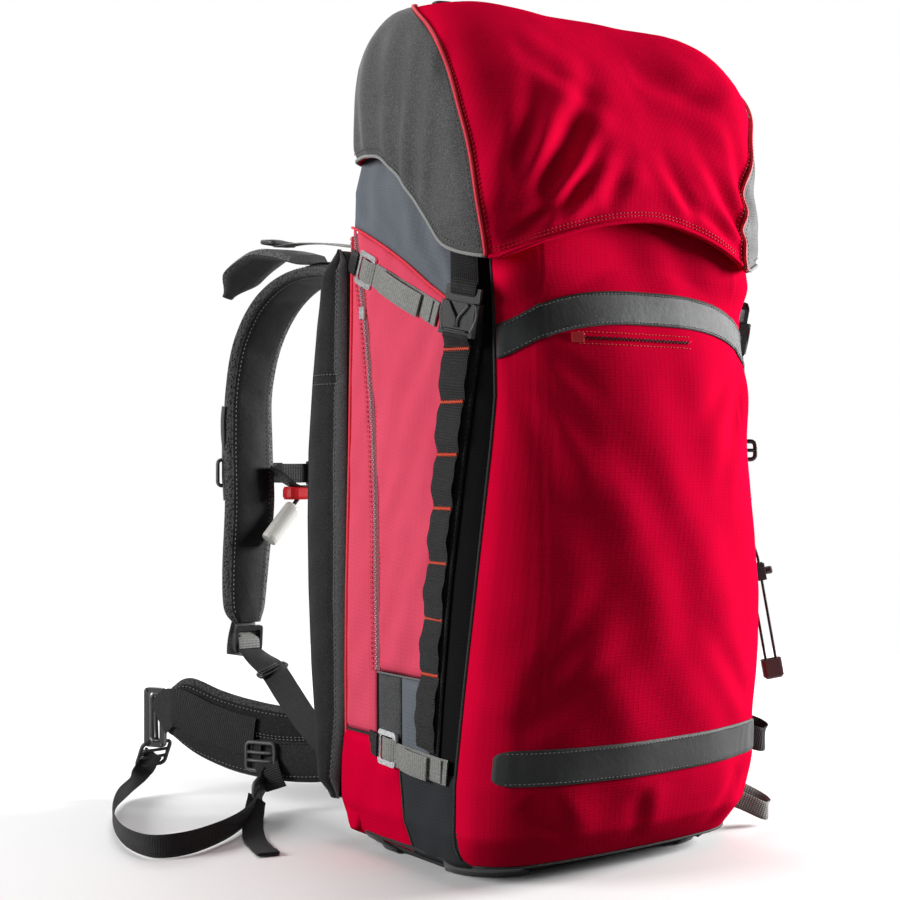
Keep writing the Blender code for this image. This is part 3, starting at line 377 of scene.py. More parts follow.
BLACK_FACE = softshell("black_lining_cloth", (0.007, 0.007, 0.008), (0.022, 0.022, 0.024), 0.4, 0.6, 0.15)
MESH = mesh_mat("black_spacer_mesh", (0.020, 0.020, 0.021), (0.004, 0.004, 0.004))
MESH_GREY = mesh_mat("grey_spacer_mesh", (0.115, 0.115, 0.113), (0.022, 0.022, 0.022), 420.0)
WING_CLOTH = softshell("charcoal_wing_cloth", (0.015, 0.015, 0.016), (0.048, 0.048, 0.050), 0.6, 0.8, 0.2)
MESH_DARK = mesh_mat("dark_spacer_mesh", (0.060, 0.060, 0.060), (0.012, 0.012, 0.012), 420.0)
DARK_RED = moulded("dark_red_acetal", (0.060, 0.004, 0.009), (0.11, 0.010, 0.018), 0.30)
BAND = softshell("grey_reflective_band", (0.034, 0.036, 0.037), (0.058, 0.060, 0.062), 0.5, 0.45, 0.1, fine=1200.0, cell=0.0009)
WEB_BLACK = webbing_mat("black_webbing_weave", (0.0075, 0.0075, 0.008), (0.034, 0.034, 0.036))
WEB_GREY = webbing_mat("light_webbing_weave", (0.17, 0.17, 0.162), (0.37, 0.37, 0.352), rib=0.0026)
PIPE_RED = softshell("red_piping", (0.78, 0.030, 0.060), (0.85, 0.10, 0.13), 0.4, 0.55, 0.3)
PIPE_GREY = softshell("grey_piping", (0.26, 0.26, 0.255), (0.40, 0.40, 0.39), 0.5, 0.55, 0.2)
THREAD_RED = softshell("red_thread", (0.62, 0.055, 0.022), (0.75, 0.13, 0.06), 0.5, 0.5, 0.2)
THREAD_DEEP = softshell("deep_red_thread", (0.50, 0.004, 0.020), (0.62, 0.03, 0.05), 0.5, 0.5, 0.2)
THREAD_GREY = softshell("grey_thread", (0.16, 0.16, 0.16), (0.25, 0.25, 0.25), 0.5, 0.5, 0.2)
THREAD_DARK = softshell("dark_thread", (0.02, 0.02, 0.02), (0.05, 0.05, 0.05), 0.5, 0.5, 0.2)
PLASTIC = moulded("black_acetal", (0.010, 0.010, 0.011), (0.040, 0.040, 0.042), 0.36)
PLASTIC_GREY = moulded("grey_acetal", (0.060, 0.061, 0.062), (0.13, 0.13, 0.13), 0.40)
CREAM = moulded("cream_handle_plastic", (0.60, 0.59, 0.55), (0.46, 0.45, 0.42), 0.46)
RED_PLASTIC = moulded("red_plastic_shell", (0.60, 0.008, 0.014), (0.44, 0.010, 0.015), 0.32)
METAL = moulded("brushed_aluminium", (0.66, 0.67, 0.68), (0.50, 0.51, 0.52), 0.30, 2200.0, 1.0)
ZIPMETAL = moulded("zip_silver", (0.56, 0.58, 0.60), (0.40, 0.42, 0.44), 0.34, 2200.0, 1.0)
STEEL = moulded("cartridge_steel", (0.42, 0.43, 0.45), (0.34, 0.34, 0.35), 0.36, 1600.0, 1.0)
SHEET = moulded("frame_sheet_plastic", (0.62, 0.62, 0.59), (0.50, 0.50, 0.47), 0.5)
HOSE = moulded("rubber_hose", (0.020, 0.020, 0.022), (0.05, 0.05, 0.05), 0.5)
ORANGE = ripstop("airbag_cloth_orange", (0.82, 0.13, 0.012), (0.60, 0.07, 0.006), lines=0.0050, sheen=0.3)
FLOOR = Mat("pale_floor", 0.85)
FLOOR.colour(FLOOR.mix(FLOOR.noise(2.0, 2.0), (0.90, 0.90, 0.90), (0.88, 0.88, 0.88)))


# ------------------------------------------------------------------ building helpers
def register(ob, body="pack", replaces=(), slot=None):
    if body:
        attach(ob, body)
    for n in replaces:
        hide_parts(n)
    ob["side_info"] = json.dumps([body or "", list(replaces), slot or ""])
    return ob


def mesh_object(name, verts, faces, mats, uvs=None, fmat=None, smooth=True, sharp=None):
    me = bpy.data.meshes.new(name)
    me.from_pydata([tuple(v) for v in verts], [], faces)
    for m in (mats if isinstance(mats, (list, tuple)) else [mats]):
        me.materials.append(m)
    if uvs is not None:
        lay = me.uv_layers.new(name="cloth")
        for loop in me.loops:
            lay.data[loop.index].uv = uvs[loop.vertex_index]
    if fmat is not None:
        for p, k in zip(me.polygons, fmat):
            p.material_index = k
    ob = bpy.data.objects.new(name, me)
    SCENE.collection.objects.link(ob)
    bm = bmesh.new()
    bm.from_mesh(me)
    bmesh.ops.recalc_face_normals(bm, faces=bm.faces)
    bm.to_mesh(me)
    bm.free()
    if smooth:
        me.shade_smooth()
        if sharp:
            me.set_sharp_from_angle(angle=math.radians(sharp))
    return ob


def swap(text):
    return text.replace("left", "right")


def mirror(ob, name=None):
    """right-hand twin riding on the right-hand body"""
    me = ob.data.copy()
    me.transform(Matrix.Scale(-1, 4, Vector((1, 0, 0))))
    me.flip_normals()
    twin = bpy.data.objects.new(name or swap(ob.name), me)
    me.name = twin.name
    SCENE.collection.objects.link(twin)
    body, rep, slot = json.loads(ob["side_info"])
    register(twin, swap(body), [swap(r) for r in rep], slot or None)
    return twin


def shell(name, G, thick, mats, body="pack", replaces=(), slot=None, wrap=False, centre=None, fmat=None, both=False, sharp=None):
    """closed sheet from a grid of outer points G[row][col]; thick goes towards centre(z)"""
    R, C = len(G), len(G[0])
    G = [[Vector(p) for p in row] for row in G]
    centre = centre or (lambda p: Vector((0, 0.0, p.z)))
    N = []
    for i in range(R):
        row = []
        for j in range(C):
            a = G[i][(j + 1) % C if wrap else min(j + 1, C - 1)] - G[i][(j - 1) % C if wrap else max(j - 1, 0)]
            b = G[min(i + 1, R - 1)][j] - G[max(i - 1, 0)][j]
            n = a.cross(b)
            n = n.normalized() if n.length > 1e-12 else Vector((0, 0, 1))
            if n.dot(G[i][j] - centre(G[i][j])) < 0:
                n = -n
            row.append(n)
        N.append(row)
    verts, uvs = [], []
    vv = 0.0
    for i in range(R):
        uu = 0.0
        if i:
            vv += (G[i][C // 2] - G[i - 1][C // 2]).length
        for j in range(C):
            if j:
                uu += (G[i][j] - G[i][j - 1]).length
            verts.append(G[i][j])
            uvs.append((uu, vv))
    base = len(verts)
    for i in range(R):
        for j in range(C):
            verts.append(G[i][j] - N[i][j] * thick)
            uvs.append(uvs[i * C + j])
    faces, fm = [], []
    cols = C if wrap else C - 1
    for i in range(R - 1):
        for j in range(cols):
            k = (j + 1) % C
            a, b, c, d = i * C + j, i * C + k, (i + 1) * C + k, (i + 1) * C + j
            faces.append((a, b, c, d))
            fm.append(fmat(i, j, G[i][j]) if fmat else 0)
            faces.append((base + d, base + c, base + b, base + a))
            fm.append(fm[-1])
    for j in range(cols):
        k = (j + 1) % C
        for i, flip in ((0, True), (R - 1, False)):
            a, b = i * C + j, i * C + k
            faces.append((a, b, base + b, base + a) if not flip else (b, a, base + a, base + b))
            fm.append(fmat(i, j, G[i][j]) if fmat else 0)
    if not wrap:
        for i in range(R - 1):
            for j, flip in ((0, False), (C - 1, True)):
                a, b = i * C + j, (i + 1) * C + j
                faces.append((a, b, base + b, base + a) if not flip else (b, a, base + a, base + b))
                fm.append(fmat(i, j, G[i][j]) if fmat else 0)
    ob = mesh_object(name, verts, faces, mats, uvs, fm, sharp=sharp)
    register(ob, body, replaces, slot)
    if both:
        mirror(ob)
    return ob


def strap(name, path, side, half, thick, mats, body="pack", replaces=(), slot=None, both=False, ridge=0.0, steps=8, wave=None, ends=True, fmat=None):
    """a strap with softened edges: path points, width direction(s), half width(s), thickness(es)"""
    pts = [Vector(p) for p in path]
    n = len(pts)
    sides = [Vector(s) for s in side] if isinstance(side, list) else [Vector(side)] * n
    halfs = half if isinstance(half, list) else [half] * n
    thicks = thick if isinstance(thick, list) else [thick] * n
    verts, uvs, rings = [], [], []
    along = 0.0
    for i, p in enumerate(pts):
        if i:
            along += (p - pts[i - 1]).length
        t = (pts[min(i + 1, n - 1)] - pts[max(i - 1, 0)]).normalized()
        s = (sides[i] - t * sides[i].dot(t)).normalized()
        up = t.cross(s)
        if wave:
            p = p + up * wave(i / (n - 1))
        w = halfs[i] if isinstance(halfs[i], tuple) else (halfs[i], halfs[i])
        h = thicks[i] / 2
        ring = []
        prof = []
        for k in range(steps + 1):
            q = -1 + 2 * k / steps
            prof.append((q, 1.0 if abs(q) < 0.999 else 0.35))
        for q, e in prof:
            x = q * (w[1] if q > 0 else w[0])
            crown = ridge * (1 - q * q)
            ring.append((p + s * x + up * (h * e + crown), (x, along)))
        for q, e in reversed(prof):
            x = q * (w[1] if q > 0 else w[0])
            crown = ridge * (1 - q * q)
            ring.append((p + s * x - up * (h * e + crown * 0.6), (x, along)))
        rings.append(ring)
    m = len(rings[0])
    for ring in rings:
        for v, u in ring:
            verts.append(v)
            uvs.append(u)
    faces, fm = [], []
    for i in range(n - 1):
        for k in range(m):
            a, b = i * m + k, i * m + (k + 1) % m
            faces.append((a, b, b + m, a + m))
            fm.append(fmat(i, k) if fmat else 0)
    faces.append(tuple(reversed(range(m))))
    faces.append(tuple(range((n - 1) * m, n * m)))
    fm += [0, 0]
    ob = mesh_object(name, verts, faces, mats, uvs, fm, sharp=50)
    register(ob, body, replaces, slot)
    if both:
        mirror(ob)
    return ob


def rod(name, path, radius, mat, body="pack", replaces=(), slot=None, both=False, seg=8, flat=1.0):
    """a round cord, piping or tube as a mesh with closed ends"""
    pts = [Vector(p) for p in path]
    n = len(pts)
    verts, uvs, faces = [], [], []
    ref = None
    along = 0.0
    for i, p in enumerate(pts):
        if i:
            along += (p - pts[i - 1]).length
        t = (pts[min(i + 1, n - 1)] - pts[max(i - 1, 0)]).normalized()
        if ref is None:
            ref = t.orthogonal()
        ref = (ref - t * ref.dot(t)).normalized()
        w = t.cross(ref)
        r = radius(i / (n - 1)) if callable(radius) else radius
        for k in range(seg):
            a = 2 * math.pi * k / seg
            verts.append(p + ref * (r * math.cos(a)) + w * (r * flat * math.sin(a)))
            uvs.append((r * a, along))
    for i in range(n - 1):
        for k in range(seg):
            a, b = i * seg + k, i * seg + (k + 1) % seg
            faces.append((a, b, b + seg, a + seg))
    faces.append(tuple(reversed(range(seg))))
    faces.append(tuple(range((n - 1) * seg, n * seg)))
    ob = mesh_object(name, verts, faces, mat, uvs)
    register(ob, body, replaces, slot)
    if both:
        mirror(ob)
    return ob


def resample(path, step):
    """points at an even step along a polyline"""
    pts = [Vector(p) for p in path]
    out, left = [pts[0].copy()], step
    for a, b in zip(pts, pts[1:]):
        L = (b - a).length
        pos = left
        while pos <= L and L > 0:
            out.append(a + (b - a) * (pos / L))
            pos += step
        left = pos - L
    return out


def stitches(name, path, normal, mat, pitch=0.0042, length=0.0026, r=0.00042, body="pack", both=False, double=0.0, side=None):
    """a row of thread stitches lying on a surface; normal is one vector or a function of the point"""
    pts = resample(path, pitch / 4)
    verts, faces = [], []
    rows = [0.0] if not double else [-double / 2, double / 2]
    for off in rows:
        for i in range(0, len(pts) - 3, 4):
            a, b = pts[i], pts[min(i + 3, len(pts) - 1)]
            d = b - a
            if d.length < 1e-6:
                continue
            d.normalize()
            n = (normal(a) if callable(normal) else Vector(normal)).normalized()
            s = n.cross(d).normalized()
            c = a + s * off
            base = len(verts)
            for q, k in ((0.0, 0.35), (0.25, 1.0), (0.75, 1.0), (1.0, 0.35)):
                p = c + d * (length * q)
                for x, y in ((1, 0), (0.5, 0.9), (-0.5, 0.9), (-1, 0), (0, -0.4)):
                    verts.append(p + s * (x * r * k) + n * (y * r * k))
            for ring in range(3):
                for k in range(5):
                    p0, p1 = base + ring * 5 + k, base + ring * 5 + (k + 1) % 5
                    faces.append((p0, p1, p1 + 5, p0 + 5))
            faces.append(tuple(base + k for k in reversed(range(5))))
            faces.append(tuple(base + 15 + k for k in range(5)))
    if not faces:
        return None
    ob = mesh_object(name, verts, faces, mat)
    register(ob, body)
    if both:
        mirror(ob)
    return ob


def bartack(name, centres, along, across, normal, mat, body="pack", both=False, length=0.022, rows=7, wide=0.0022):
    """dense zigzag bars: centre points with per-bar axes given as functions"""
    verts, faces = [], []
    for c in centres:
        al, ac, n = along(c).normalized(), across(c).normalized(), normal(c).normalized()
        steps = 26
        base = len(verts)
        for i in range(steps + 1):
            q = -0.5 + i / steps
            zig = (0.5 if i % 2 else -0.5) * wide * 0.5
            p = c + ac * (q * length) + al * zig
            for x, y in ((0.7, 0), (0.35, 0.6), (-0.35, 0.6), (-0.7, 0)):
                verts.append(p + al * (x * wide * 0.55) + n * (y * 0.0012))
        for i in range(steps):
            for k in range(4):
                a, b = base + i * 4 + k, base + i * 4 + (k + 1) % 4
                faces.append((a, b, b + 4, a + 4))
        faces.append(tuple(base + k for k in reversed(range(4))))
        faces.append(tuple(base + steps * 4 + k for k in range(4)))
    ob = mesh_object(name, verts, faces, mat)
    register(ob, body)
    if both:
        mirror(ob)
    return ob


def zipper(name, path, normal, body="pack", both=False, tape=0.0055, pitch=0.0021, teeth=None, tape_mat=None, tooth=(0.0016, 0.0009)):
    """tape with two interlocked rows of teeth"""
    pts = resample(path, pitch)
    verts, faces, fm = [], [], []
    for i, p in enumerate(pts):
        d = (pts[min(i + 1, len(pts) - 1)] - pts[max(i - 1, 0)]).normalized()
        n = (normal(p) if callable(normal) else Vector(normal)).normalized()
        s = n.cross(d).normalized()
        for x, y in ((-tape, 0.0), (-tape * 0.2, 0.0004), (tape * 0.2, 0.0004), (tape, 0.0), (tape, -0.0006), (-tape, -0.0006)):
            verts.append(p + s * x + n * y)
    m = 6
    for i in range(len(pts) - 1):
        for k in range(m):
            a, b = i * m + k, i * m + (k + 1) % m
            faces.append((a, b, b + m, a + m))
            fm.append(0)
    faces.append(tuple(reversed(range(m))))
    faces.append(tuple(range((len(pts) - 1) * m, len(pts) * m)))
    fm += [0, 0]
    for i, p in enumerate(pts[1:-1], 1):
        d = (pts[i + 1] - pts[i - 1]).normalized()
        n = (normal(p) if callable(normal) else Vector(normal)).normalized()
        s = n.cross(d).normalized()
        c = p + s * (0.0006 if i % 2 else -0.0006) + n * 0.0009
        base = len(verts)
        hx, hy, hz = tooth[0], pitch * 0.34, tooth[1] * 0.6
        for sx, sy, sz in ((-1, -1, -1), (1, -1, -1), (1, 1, -1), (-1, 1, -1), (-0.7, -0.6, 1), (0.7, -0.6, 1), (0.7, 0.6, 1), (-0.7, 0.6, 1)):
            verts.append(c + s * (sx * hx) + d * (sy * hy) + n * (sz * hz))
        for f in ((0, 3, 2, 1), (4, 5, 6, 7), (0, 1, 5, 4), (1, 2, 6, 5), (2, 3, 7, 6), (3, 0, 4, 7)):
            faces.append(tuple(base + k for k in f))
            fm.append(1)
    ob = mesh_object(name, verts, faces, [tape_mat or GUSSET, teeth or ZIPMETAL], None, fm, smooth=False)
    register(ob, body)
    if both:
        mirror(ob)
    return ob


def ladder_lock(name, centre, w_axis, m_axis, n_axis, size=(0.031, 0.026), mat=None, body="pack", both=False, bars=2, thick=0.0038):
    """a ladder-lock or tri-glide: rounded frame with curved cross bars"""
    w, m, n = Vector(w_axis).normalized(), Vector(m_axis).normalized(), Vector(n_axis).normalized()
    c0 = Vector(centre)
    hw, hh = size[0] / 2, size[1] / 2
    parts_v, parts_f = [], []

    def ring_tube(path, r, closed):
        base, k, seg = len(parts_v), len(path), 8
        for i, p in enumerate(path):
            a = path[(i - 1) % k] if closed or i else path[i]
            b = path[(i + 1) % k] if closed or i < k - 1 else path[i]
            t = (b - a).normalized()
            s = t.cross(n).normalized()
            for j in range(seg):
                ang = 2 * math.pi * j / seg
                parts_v.append(p + s * (r * 0.9 * math.cos(ang)) + n * (thick / 2 * math.sin(ang)))
        for i in range(k if closed else k - 1):
            for j in range(seg):
                a, b = base + i * seg + j, base + i * seg + (j + 1) % seg
                c, d = base + ((i + 1) % k) * seg + (j + 1) % seg, base + ((i + 1) % k) * seg + j
                parts_f.append((a, b, c, d))
        if not closed:
            parts_f.append(tuple(base + j for j in reversed(range(seg))))
            parts_f.append(tuple(base + (k - 1) * seg + j for j in range(seg)))
    out = []
    r = 0.004
    for cx, cy, a0 in ((hw - r, hh - r, 0), (-hw + r, hh - r, 90), (-hw + r, -hh + r, 180), (hw - r, -hh + r, 270)):
        for k in range(5):
            a = math.radians(a0 + 90 * k / 4)
            out.append(c0 + w * (cx + r * math.cos(a)) + m * (cy + r * math.sin(a)))
    ring_tube(out, 0.0022, True)
    for b in range(bars):
        q = (b + 1) / (bars + 1) * 2 - 1 if bars > 1 else 0.0
        ring_tube([c0 + w * (hw * (-0.92 + 1.84 * k / 6)) + m * (hh * q * 0.9) + n * (0.0012 * math.sin(math.pi * k / 6)) for k in range(7)], 0.0018, False)
    ob = mesh_object(name, parts_v, parts_f, mat or PLASTIC)
    register(ob, body)
    if both:
        mirror(ob)
    return ob


# ------------------------------------------------------------------ bag shell
WALL = 0.003
BUMP_HALF = 0.0945


def bag_ring(z, off):
    hx, yf, yb, rc, bulge = bag_dims(z)
    hx, yf, yb, rc = hx - off, yf + off, yb - off, max(rc - off, 0.012)
    yc = max(back_y(min(z, 0.53)) - 0.0005 - off, yb + 0.0008)
    if z > 0.505:
        yc = yb + 0.0008 + (max(back_y(0.53) - off - yb, 0.001)) * max(0.0, (0.545 - z) / 0.04)
    bh = min(BUMP_HALF - off, hx * 0.70)
    r2 = min(0.014, hx * 0.3)
    half = [(0.0, yf - bulge), ((hx - rc) * 0.25, yf - bulge * 0.94), ((hx - rc) * 0.5, yf - bulge * 0.75), ((hx - rc) * 0.85, yf - bulge * 0.28)]
    for k in range(8):
        a = math.radians(90 * k / 7)
        half.append((hx - rc + rc * math.sin(a), yf + rc - rc * math.cos(a)))
    for q in (0.2, 0.4, 0.6, 0.8):
        half.append((hx, yf + rc + (yb - r2 - yf - rc) * q))
    for k in range(5):
        a = math.radians(90 * k / 4)
        half.append((hx - r2 + r2 * math.cos(a), yb - r2 + r2 * math.sin(a)))
    c = min(0.008, (yc - yb) * 0.4)
    half += [(bh + (hx - r2 - bh) * 0.4, yb), (bh, yb + (yc - yb) * 0.02), (bh, yc - c), (bh - c, yc), (bh * 0.5, yc), (0.0, yc)]
    left = [(-x, y) for x, y in reversed(half[1:-1])]
    return [(x, y, z) for x, y in half + left]


def pleat(p, k, n):
    """gathers of the drawn-in collar"""
    if p[2] < 0.552:
        return Vector(p)
    amp = 0.0042 * sstep(p[2], 0.552, 0.60)
    a = math.atan2(p[1] + 0.01, p[0])
    w = math.sin(a * 17 + 1.3 * math.sin(a * 3)) * amp + 0.4 * amp * math.sin(a * 29)
    return Vector(p) + Vector((math.cos(a), math.sin(a), 0)) * (w - amp)


zs_out = [0.0, 0.004, 0.012, 0.024] + [0.04 + 0.49 * k / 26 for k in range(27)] + [0.543, 0.555, 0.565, 0.575, 0.585, 0.594, 0.602, 0.610, 0.620, 0.630]
zs_in = [0.627, 0.615, 0.600, 0.590, 0.578, 0.562, 0.548, 0.52, 0.46, 0.40, 0.32, 0.24, 0.16, 0.08, 0.03, 0.008]
rows = [[pleat(p, 0, 0) for p in bag_ring(z, 0.0)] for z in zs_out] + [[pleat(p, 0, 0) for p in bag_ring(z, WALL)] for z in zs_in]
nb = len(rows[0])
verts = [p for r in rows for p in r]
faces, fm = [], []
for i in range(len(rows) - 1):
    for j in range(nb):
        a, b = i * nb + j, i * nb + (j + 1) % nb
        faces.append((a, b, b + nb, a + nb))
        zz = rows[i][j].z
        fm.append(1 if (i >= len(zs_out) - 1 or zz > 0.502) else (2 if zz < 0.010 else 0))
faces.append(tuple(reversed(range(nb))))
faces.append(tuple(range((len(rows) - 1) * nb, len(rows) * nb)))
fm += [2, 1]
uvs = []
for i, r in enumerate(rows):
    run = 0.0
    for j, p in enumerate(r):
        if j:
            run += (p - r[j - 1]).length
        uvs.append((run, p.z if i < len(zs_out) else 1.2 - p.z))
register(mesh_object("bag_shell", verts, faces, [GUSSET, SLATE, BLACK_FACE], uvs, fm, sharp=60), "pack", ["main_bag"], "red_side")

cuff = [pleat(p, 0, 0) for p in bag_ring(0.628, 0.0012)]
rod("collar_hem_cord", [p + Vector((0, 0, 0.001)) for p in cuff] + [cuff[0] + Vector((0.0005, 0, 0.001))], 0.0019, THREAD_GREY, seg=6)


# ------------------------------------------------------------------ side panels, sewn flat to the shell
def zip_y(z):
    return curve(z, [0.155, 0.2484, 0.3568, 0.43, 0.480, 0.526], [0.0265, 0.0300, 0.0390, 0.0500, 0.0610, 0.0715])


def border_z(y):
    return curve(y, [-0.072, -0.067, -0.04, -0.005, 0.032, 0.071, 0.078], [0.454, 0.457, 0.472, 0.493, 0.512, 0.529, 0.531])


def side_out(y, z):
    """soft shape of the side cloth: broad puff and diagonal tension wrinkles"""
    fold = 0.0011 * math.sin((z * 0.8 + y * 1.5) * 105 + 2.2 * nz((0, y, z), 14)) * (0.35 + 0.65 * abs(nz((0.3, y, z), 9)))
    return 0.0016 + 0.0016 * nz((0, y, z), 16, 3.1) + fold + 0.0010 * nz((0, y, z), 55, 1.7)


def side_panel(name, z0, z1, ya, yb, mat, nu=26, nv=70, puff=0.0022, edge=0.006, base=0.0007, thick=0.0012, top=None, soft=1.0, slot="red_side", pull=0.12):
    """sheet on the side of the bag between front edge ya(z) and rear edge yb(z); top(y) can set the upper edge"""
    G = []
    for i in range(nv + 1):
        row = []
        for j in range(nu + 1):
            q = j / nu
            t = i / nv
            z = z0 + (z1 - z0) * t
            y = ya(z) + (yb(z) - ya(z)) * q
            if top:
                zt = top(y)
                z = z0 + (zt - z0) * t
                y = ya(z) + (yb(z) - ya(z)) * q
                zt = top(y)
                z = z0 + (zt - z0) * t
            else:
                zt = z1
            wid = abs(yb(z) - ya(z))
            e = min(q * wid, (1 - q) * wid, z - z0, zt - z)
            k = sstep(e, 0.0, edge)
            off = base + k * (puff * (0.4 + 0.6 * math.sin(math.pi * q)) + max(side_out(y, z) - 0.0006, 0.0) * soft)
            x = bag_side_x(y, z)
            if y > 0.068:
                x -= pull * (y - 0.068)
            row.append(Vector((-(x + off), y, z)))
        G.append(row)
    return shell(name, G, thick, mat, slot=slot, both=True)


# the side panels wear the red with painted side light
side_panel("side_front_panel_left", 0.157, 0.5, lambda z: daisy_y(z) + 0.006, lambda z: zip_y(z) - 0.0026, RED_SIDE_PAINTED_LIGHT, top=lambda y: min(border_z(y), 0.528), puff=0.0030, soft=1.3)
side_panel("side_rear_panel_left", 0.1035, 0.5, lambda z: zip_y(z) + 0.0026, lambda z: 0.0772, RED_SIDE_PAINTED_LIGHT, top=lambda y: min(border_z(y), 0.529), puff=0.0018, nu=16, nv=84, soft=0.7)
side_panel("side_lower_panel_left", 0.012, 0.1025, lambda z: -0.0045 - 0.004 * (0.1 - z) * 10, lambda z: 0.0772 + 0.0125 * sstep(0.125 - z, 0.0, 0.085), RED_DEEP, puff=0.0022, nv=30, nu=28, pull=0.02)
side_panel("side_grey_patch_left", 0.1055, 0.1555, lambda z: -0.0070, lambda z: zip_y(0.155) - 0.0008, SOFT_GREY, nu=12, nv=14, puff=0.0010)
side_panel("side_slate_patch_left", 0.0870, 0.1560, lambda z: -0.052, lambda z: -0.0080, SLATE, nu=16, nv=16, puff=0.0016)
side_panel("side_corner_gusset_left", 0.008, 0.0865, lambda z: -0.0960 + 0.0 * z, lambda z: -0.0058, SLATE_DARK, nu=30, nv=24, puff=0.0022)
G = []
for i in range(37):
    row = []
    for j in range(45):
        y = -0.0735 + 0.1490 * j / 44
        zb = border_z(y) - 0.0004
        z = zb + (0.592 - zb) * i / 36
        e = min((y + 0.0735), (0.0755 - y), z - zb)
        wr = 0.0030 * math.sin((y * 0.9 - (z - zb) * 0.55) * 150 + 2.5 * nz((0, y, z), 18)) * sstep(e, 0, 0.02) + 0.0022 * nz((0, y, z), 30, 2.0)
        off = 0.0006 + sstep(e, 0.0, 0.006) * (0.0032 + wr * (0.4 + 0.6 * sstep(0.56 - z, -0.01, 0.04)))
        row.append(Vector((-(bag_side_x(y, min(z, 0.553)) + off - (0.12 * (y - 0.068) if y > 0.068 else 0) - 0.25 * max(0, z - 0.56)), y, z)))
    G.append(row)
shell("side_collar_panel_left", G, 0.0012, SLATE, slot="red_side", both=True)

snorm = lambda p: Vector((-1, 0, 0)) if p.x < 0 else Vector((1, 0, 0))


def on_side(y, z, off):
    return Vector((-(bag_side_x(y, z) + off - (0.12 * (y - 0.068) if y > 0.068 else 0)), y, z))


zp = [on_side(zip_y(0.1575 + 0.367 * k / 60), 0.1575 + 0.367 * k / 60, 0.0014) for k in range(61)]
zipper("side_zip_left", zp, snorm, both=True, tape=0.0036, pitch=0.0019, tape_mat=ZIP_TAPE, tooth=(0.0012, 0.0012))
for q, nm in ((-0.0062, "front"), (0.0062, "rear")):
    stitches("side_zip_stitch_%s_left" % nm, [p + Vector((-0.0018, q, 0)) for p in zp], snorm, THREAD_RED, both=True)
bord = [on_side(-0.0700 + 0.1470 * k / 40, border_z(-0.0700 + 0.1470 * k / 40), 0.0024) for k in range(41)]
rod("side_border_piping_left", bord, 0.0013, PIPE_RED, both=True, seg=6)
rod("side_rear_piping_left", [on_side(0.0768, 0.020 + 0.503 * k / 60, 0.0016) for k in range(61)], 0.0015, PIPE_RED, both=True, seg=6)
rod("side_lower_seam_left", [on_side(-0.004 + 0.081 * k / 24, 0.1030, 0.0012) for k in range(25)], 0.0011, THREAD_DARK, both=True, seg=6)
rod("side_corner_seam_left", [on_side(-0.0052 - 0.0035 * (1 - k / 24), 0.012 + 0.090 * k / 24, 0.0014) for k in range(25)], 0.0011, THREAD_DARK, both=True, seg=6)
rod("side_patch_seam_left", [on_side(zip_y(0.155) - 0.0755 * k / 24, 0.1563 + 0.0003 * k / 24, 0.0016) for k in range(25)], 0.0009, THREAD_GREY, both=True, seg=6)

G = []
for i in range(15):
    z = 0.0165 + 0.0222 * i / 14
    g = 0.42 + 0.58 * math.sin(math.pi / 2 * (i / 14) ** 0.8)
    row = []
    for k in range(40):
        a = 2 * math.pi * k / 40
        c, sn = math.cos(a), math.sin(a)
        kk = (abs(c) ** 5 + abs(sn) ** 5) ** (-0.2)
        row.append(Vector((-(0.1235 + 0.0277 * c * kk * (0.94 + 0.06 * g)), 0.0745 + 0.0150 * sn * kk * g, z)))
    G.append(row)
cc = Vector((-0.1235, 0.0745, 0))
G = [[Vector((cc.x, cc.y, 0.0165)) + (p - Vector((cc.x, cc.y, 0.0165))) * q for p in G[0]] for q in (0.15, 0.6)] + G + [[Vector((cc.x, cc.y, 0.0387)) + (p - Vector((cc.x, cc.y, 0.0387))) * q for p in G[-1]] for q in (0.6, 0.15)]
shell("rear_corner_cloth_left", G, 0.0012, RED_DEEP, wrap=True, slot="red_side", centre=lambda p: Vector((-0.1235, 0.0745, 0.0256)), both=True)

# base: bumper strip and corner guards
ring = bag_ring(0.016, -0.0012)
rod("base_edge_binding", [Vector(p) for p in ring] + [Vector(ring[0]) + Vector((0.0004, 0, 0))], 0.0022, THREAD_DARK, seg=6)
for k, (a, b) in enumerate(((4, 11), (15, 20))):
    G = []
    for i in range(7):
        z = 0.0005 + 0.021 * i / 6
        rr = bag_ring(max(z, 0.003), -(0.0018 + 0.0012 * math.sin(math.pi * i / 6)))
        row = []
        for j in range(a, b + 1):
            row.append(Vector((-rr[j][0], rr[j][1], z)))
        G.append(row)
    shell("base_guard_%s_left" % ("front", "rear")[k], G, 0.0022, PLASTIC_GREY, slot="black_softshell", both=True)


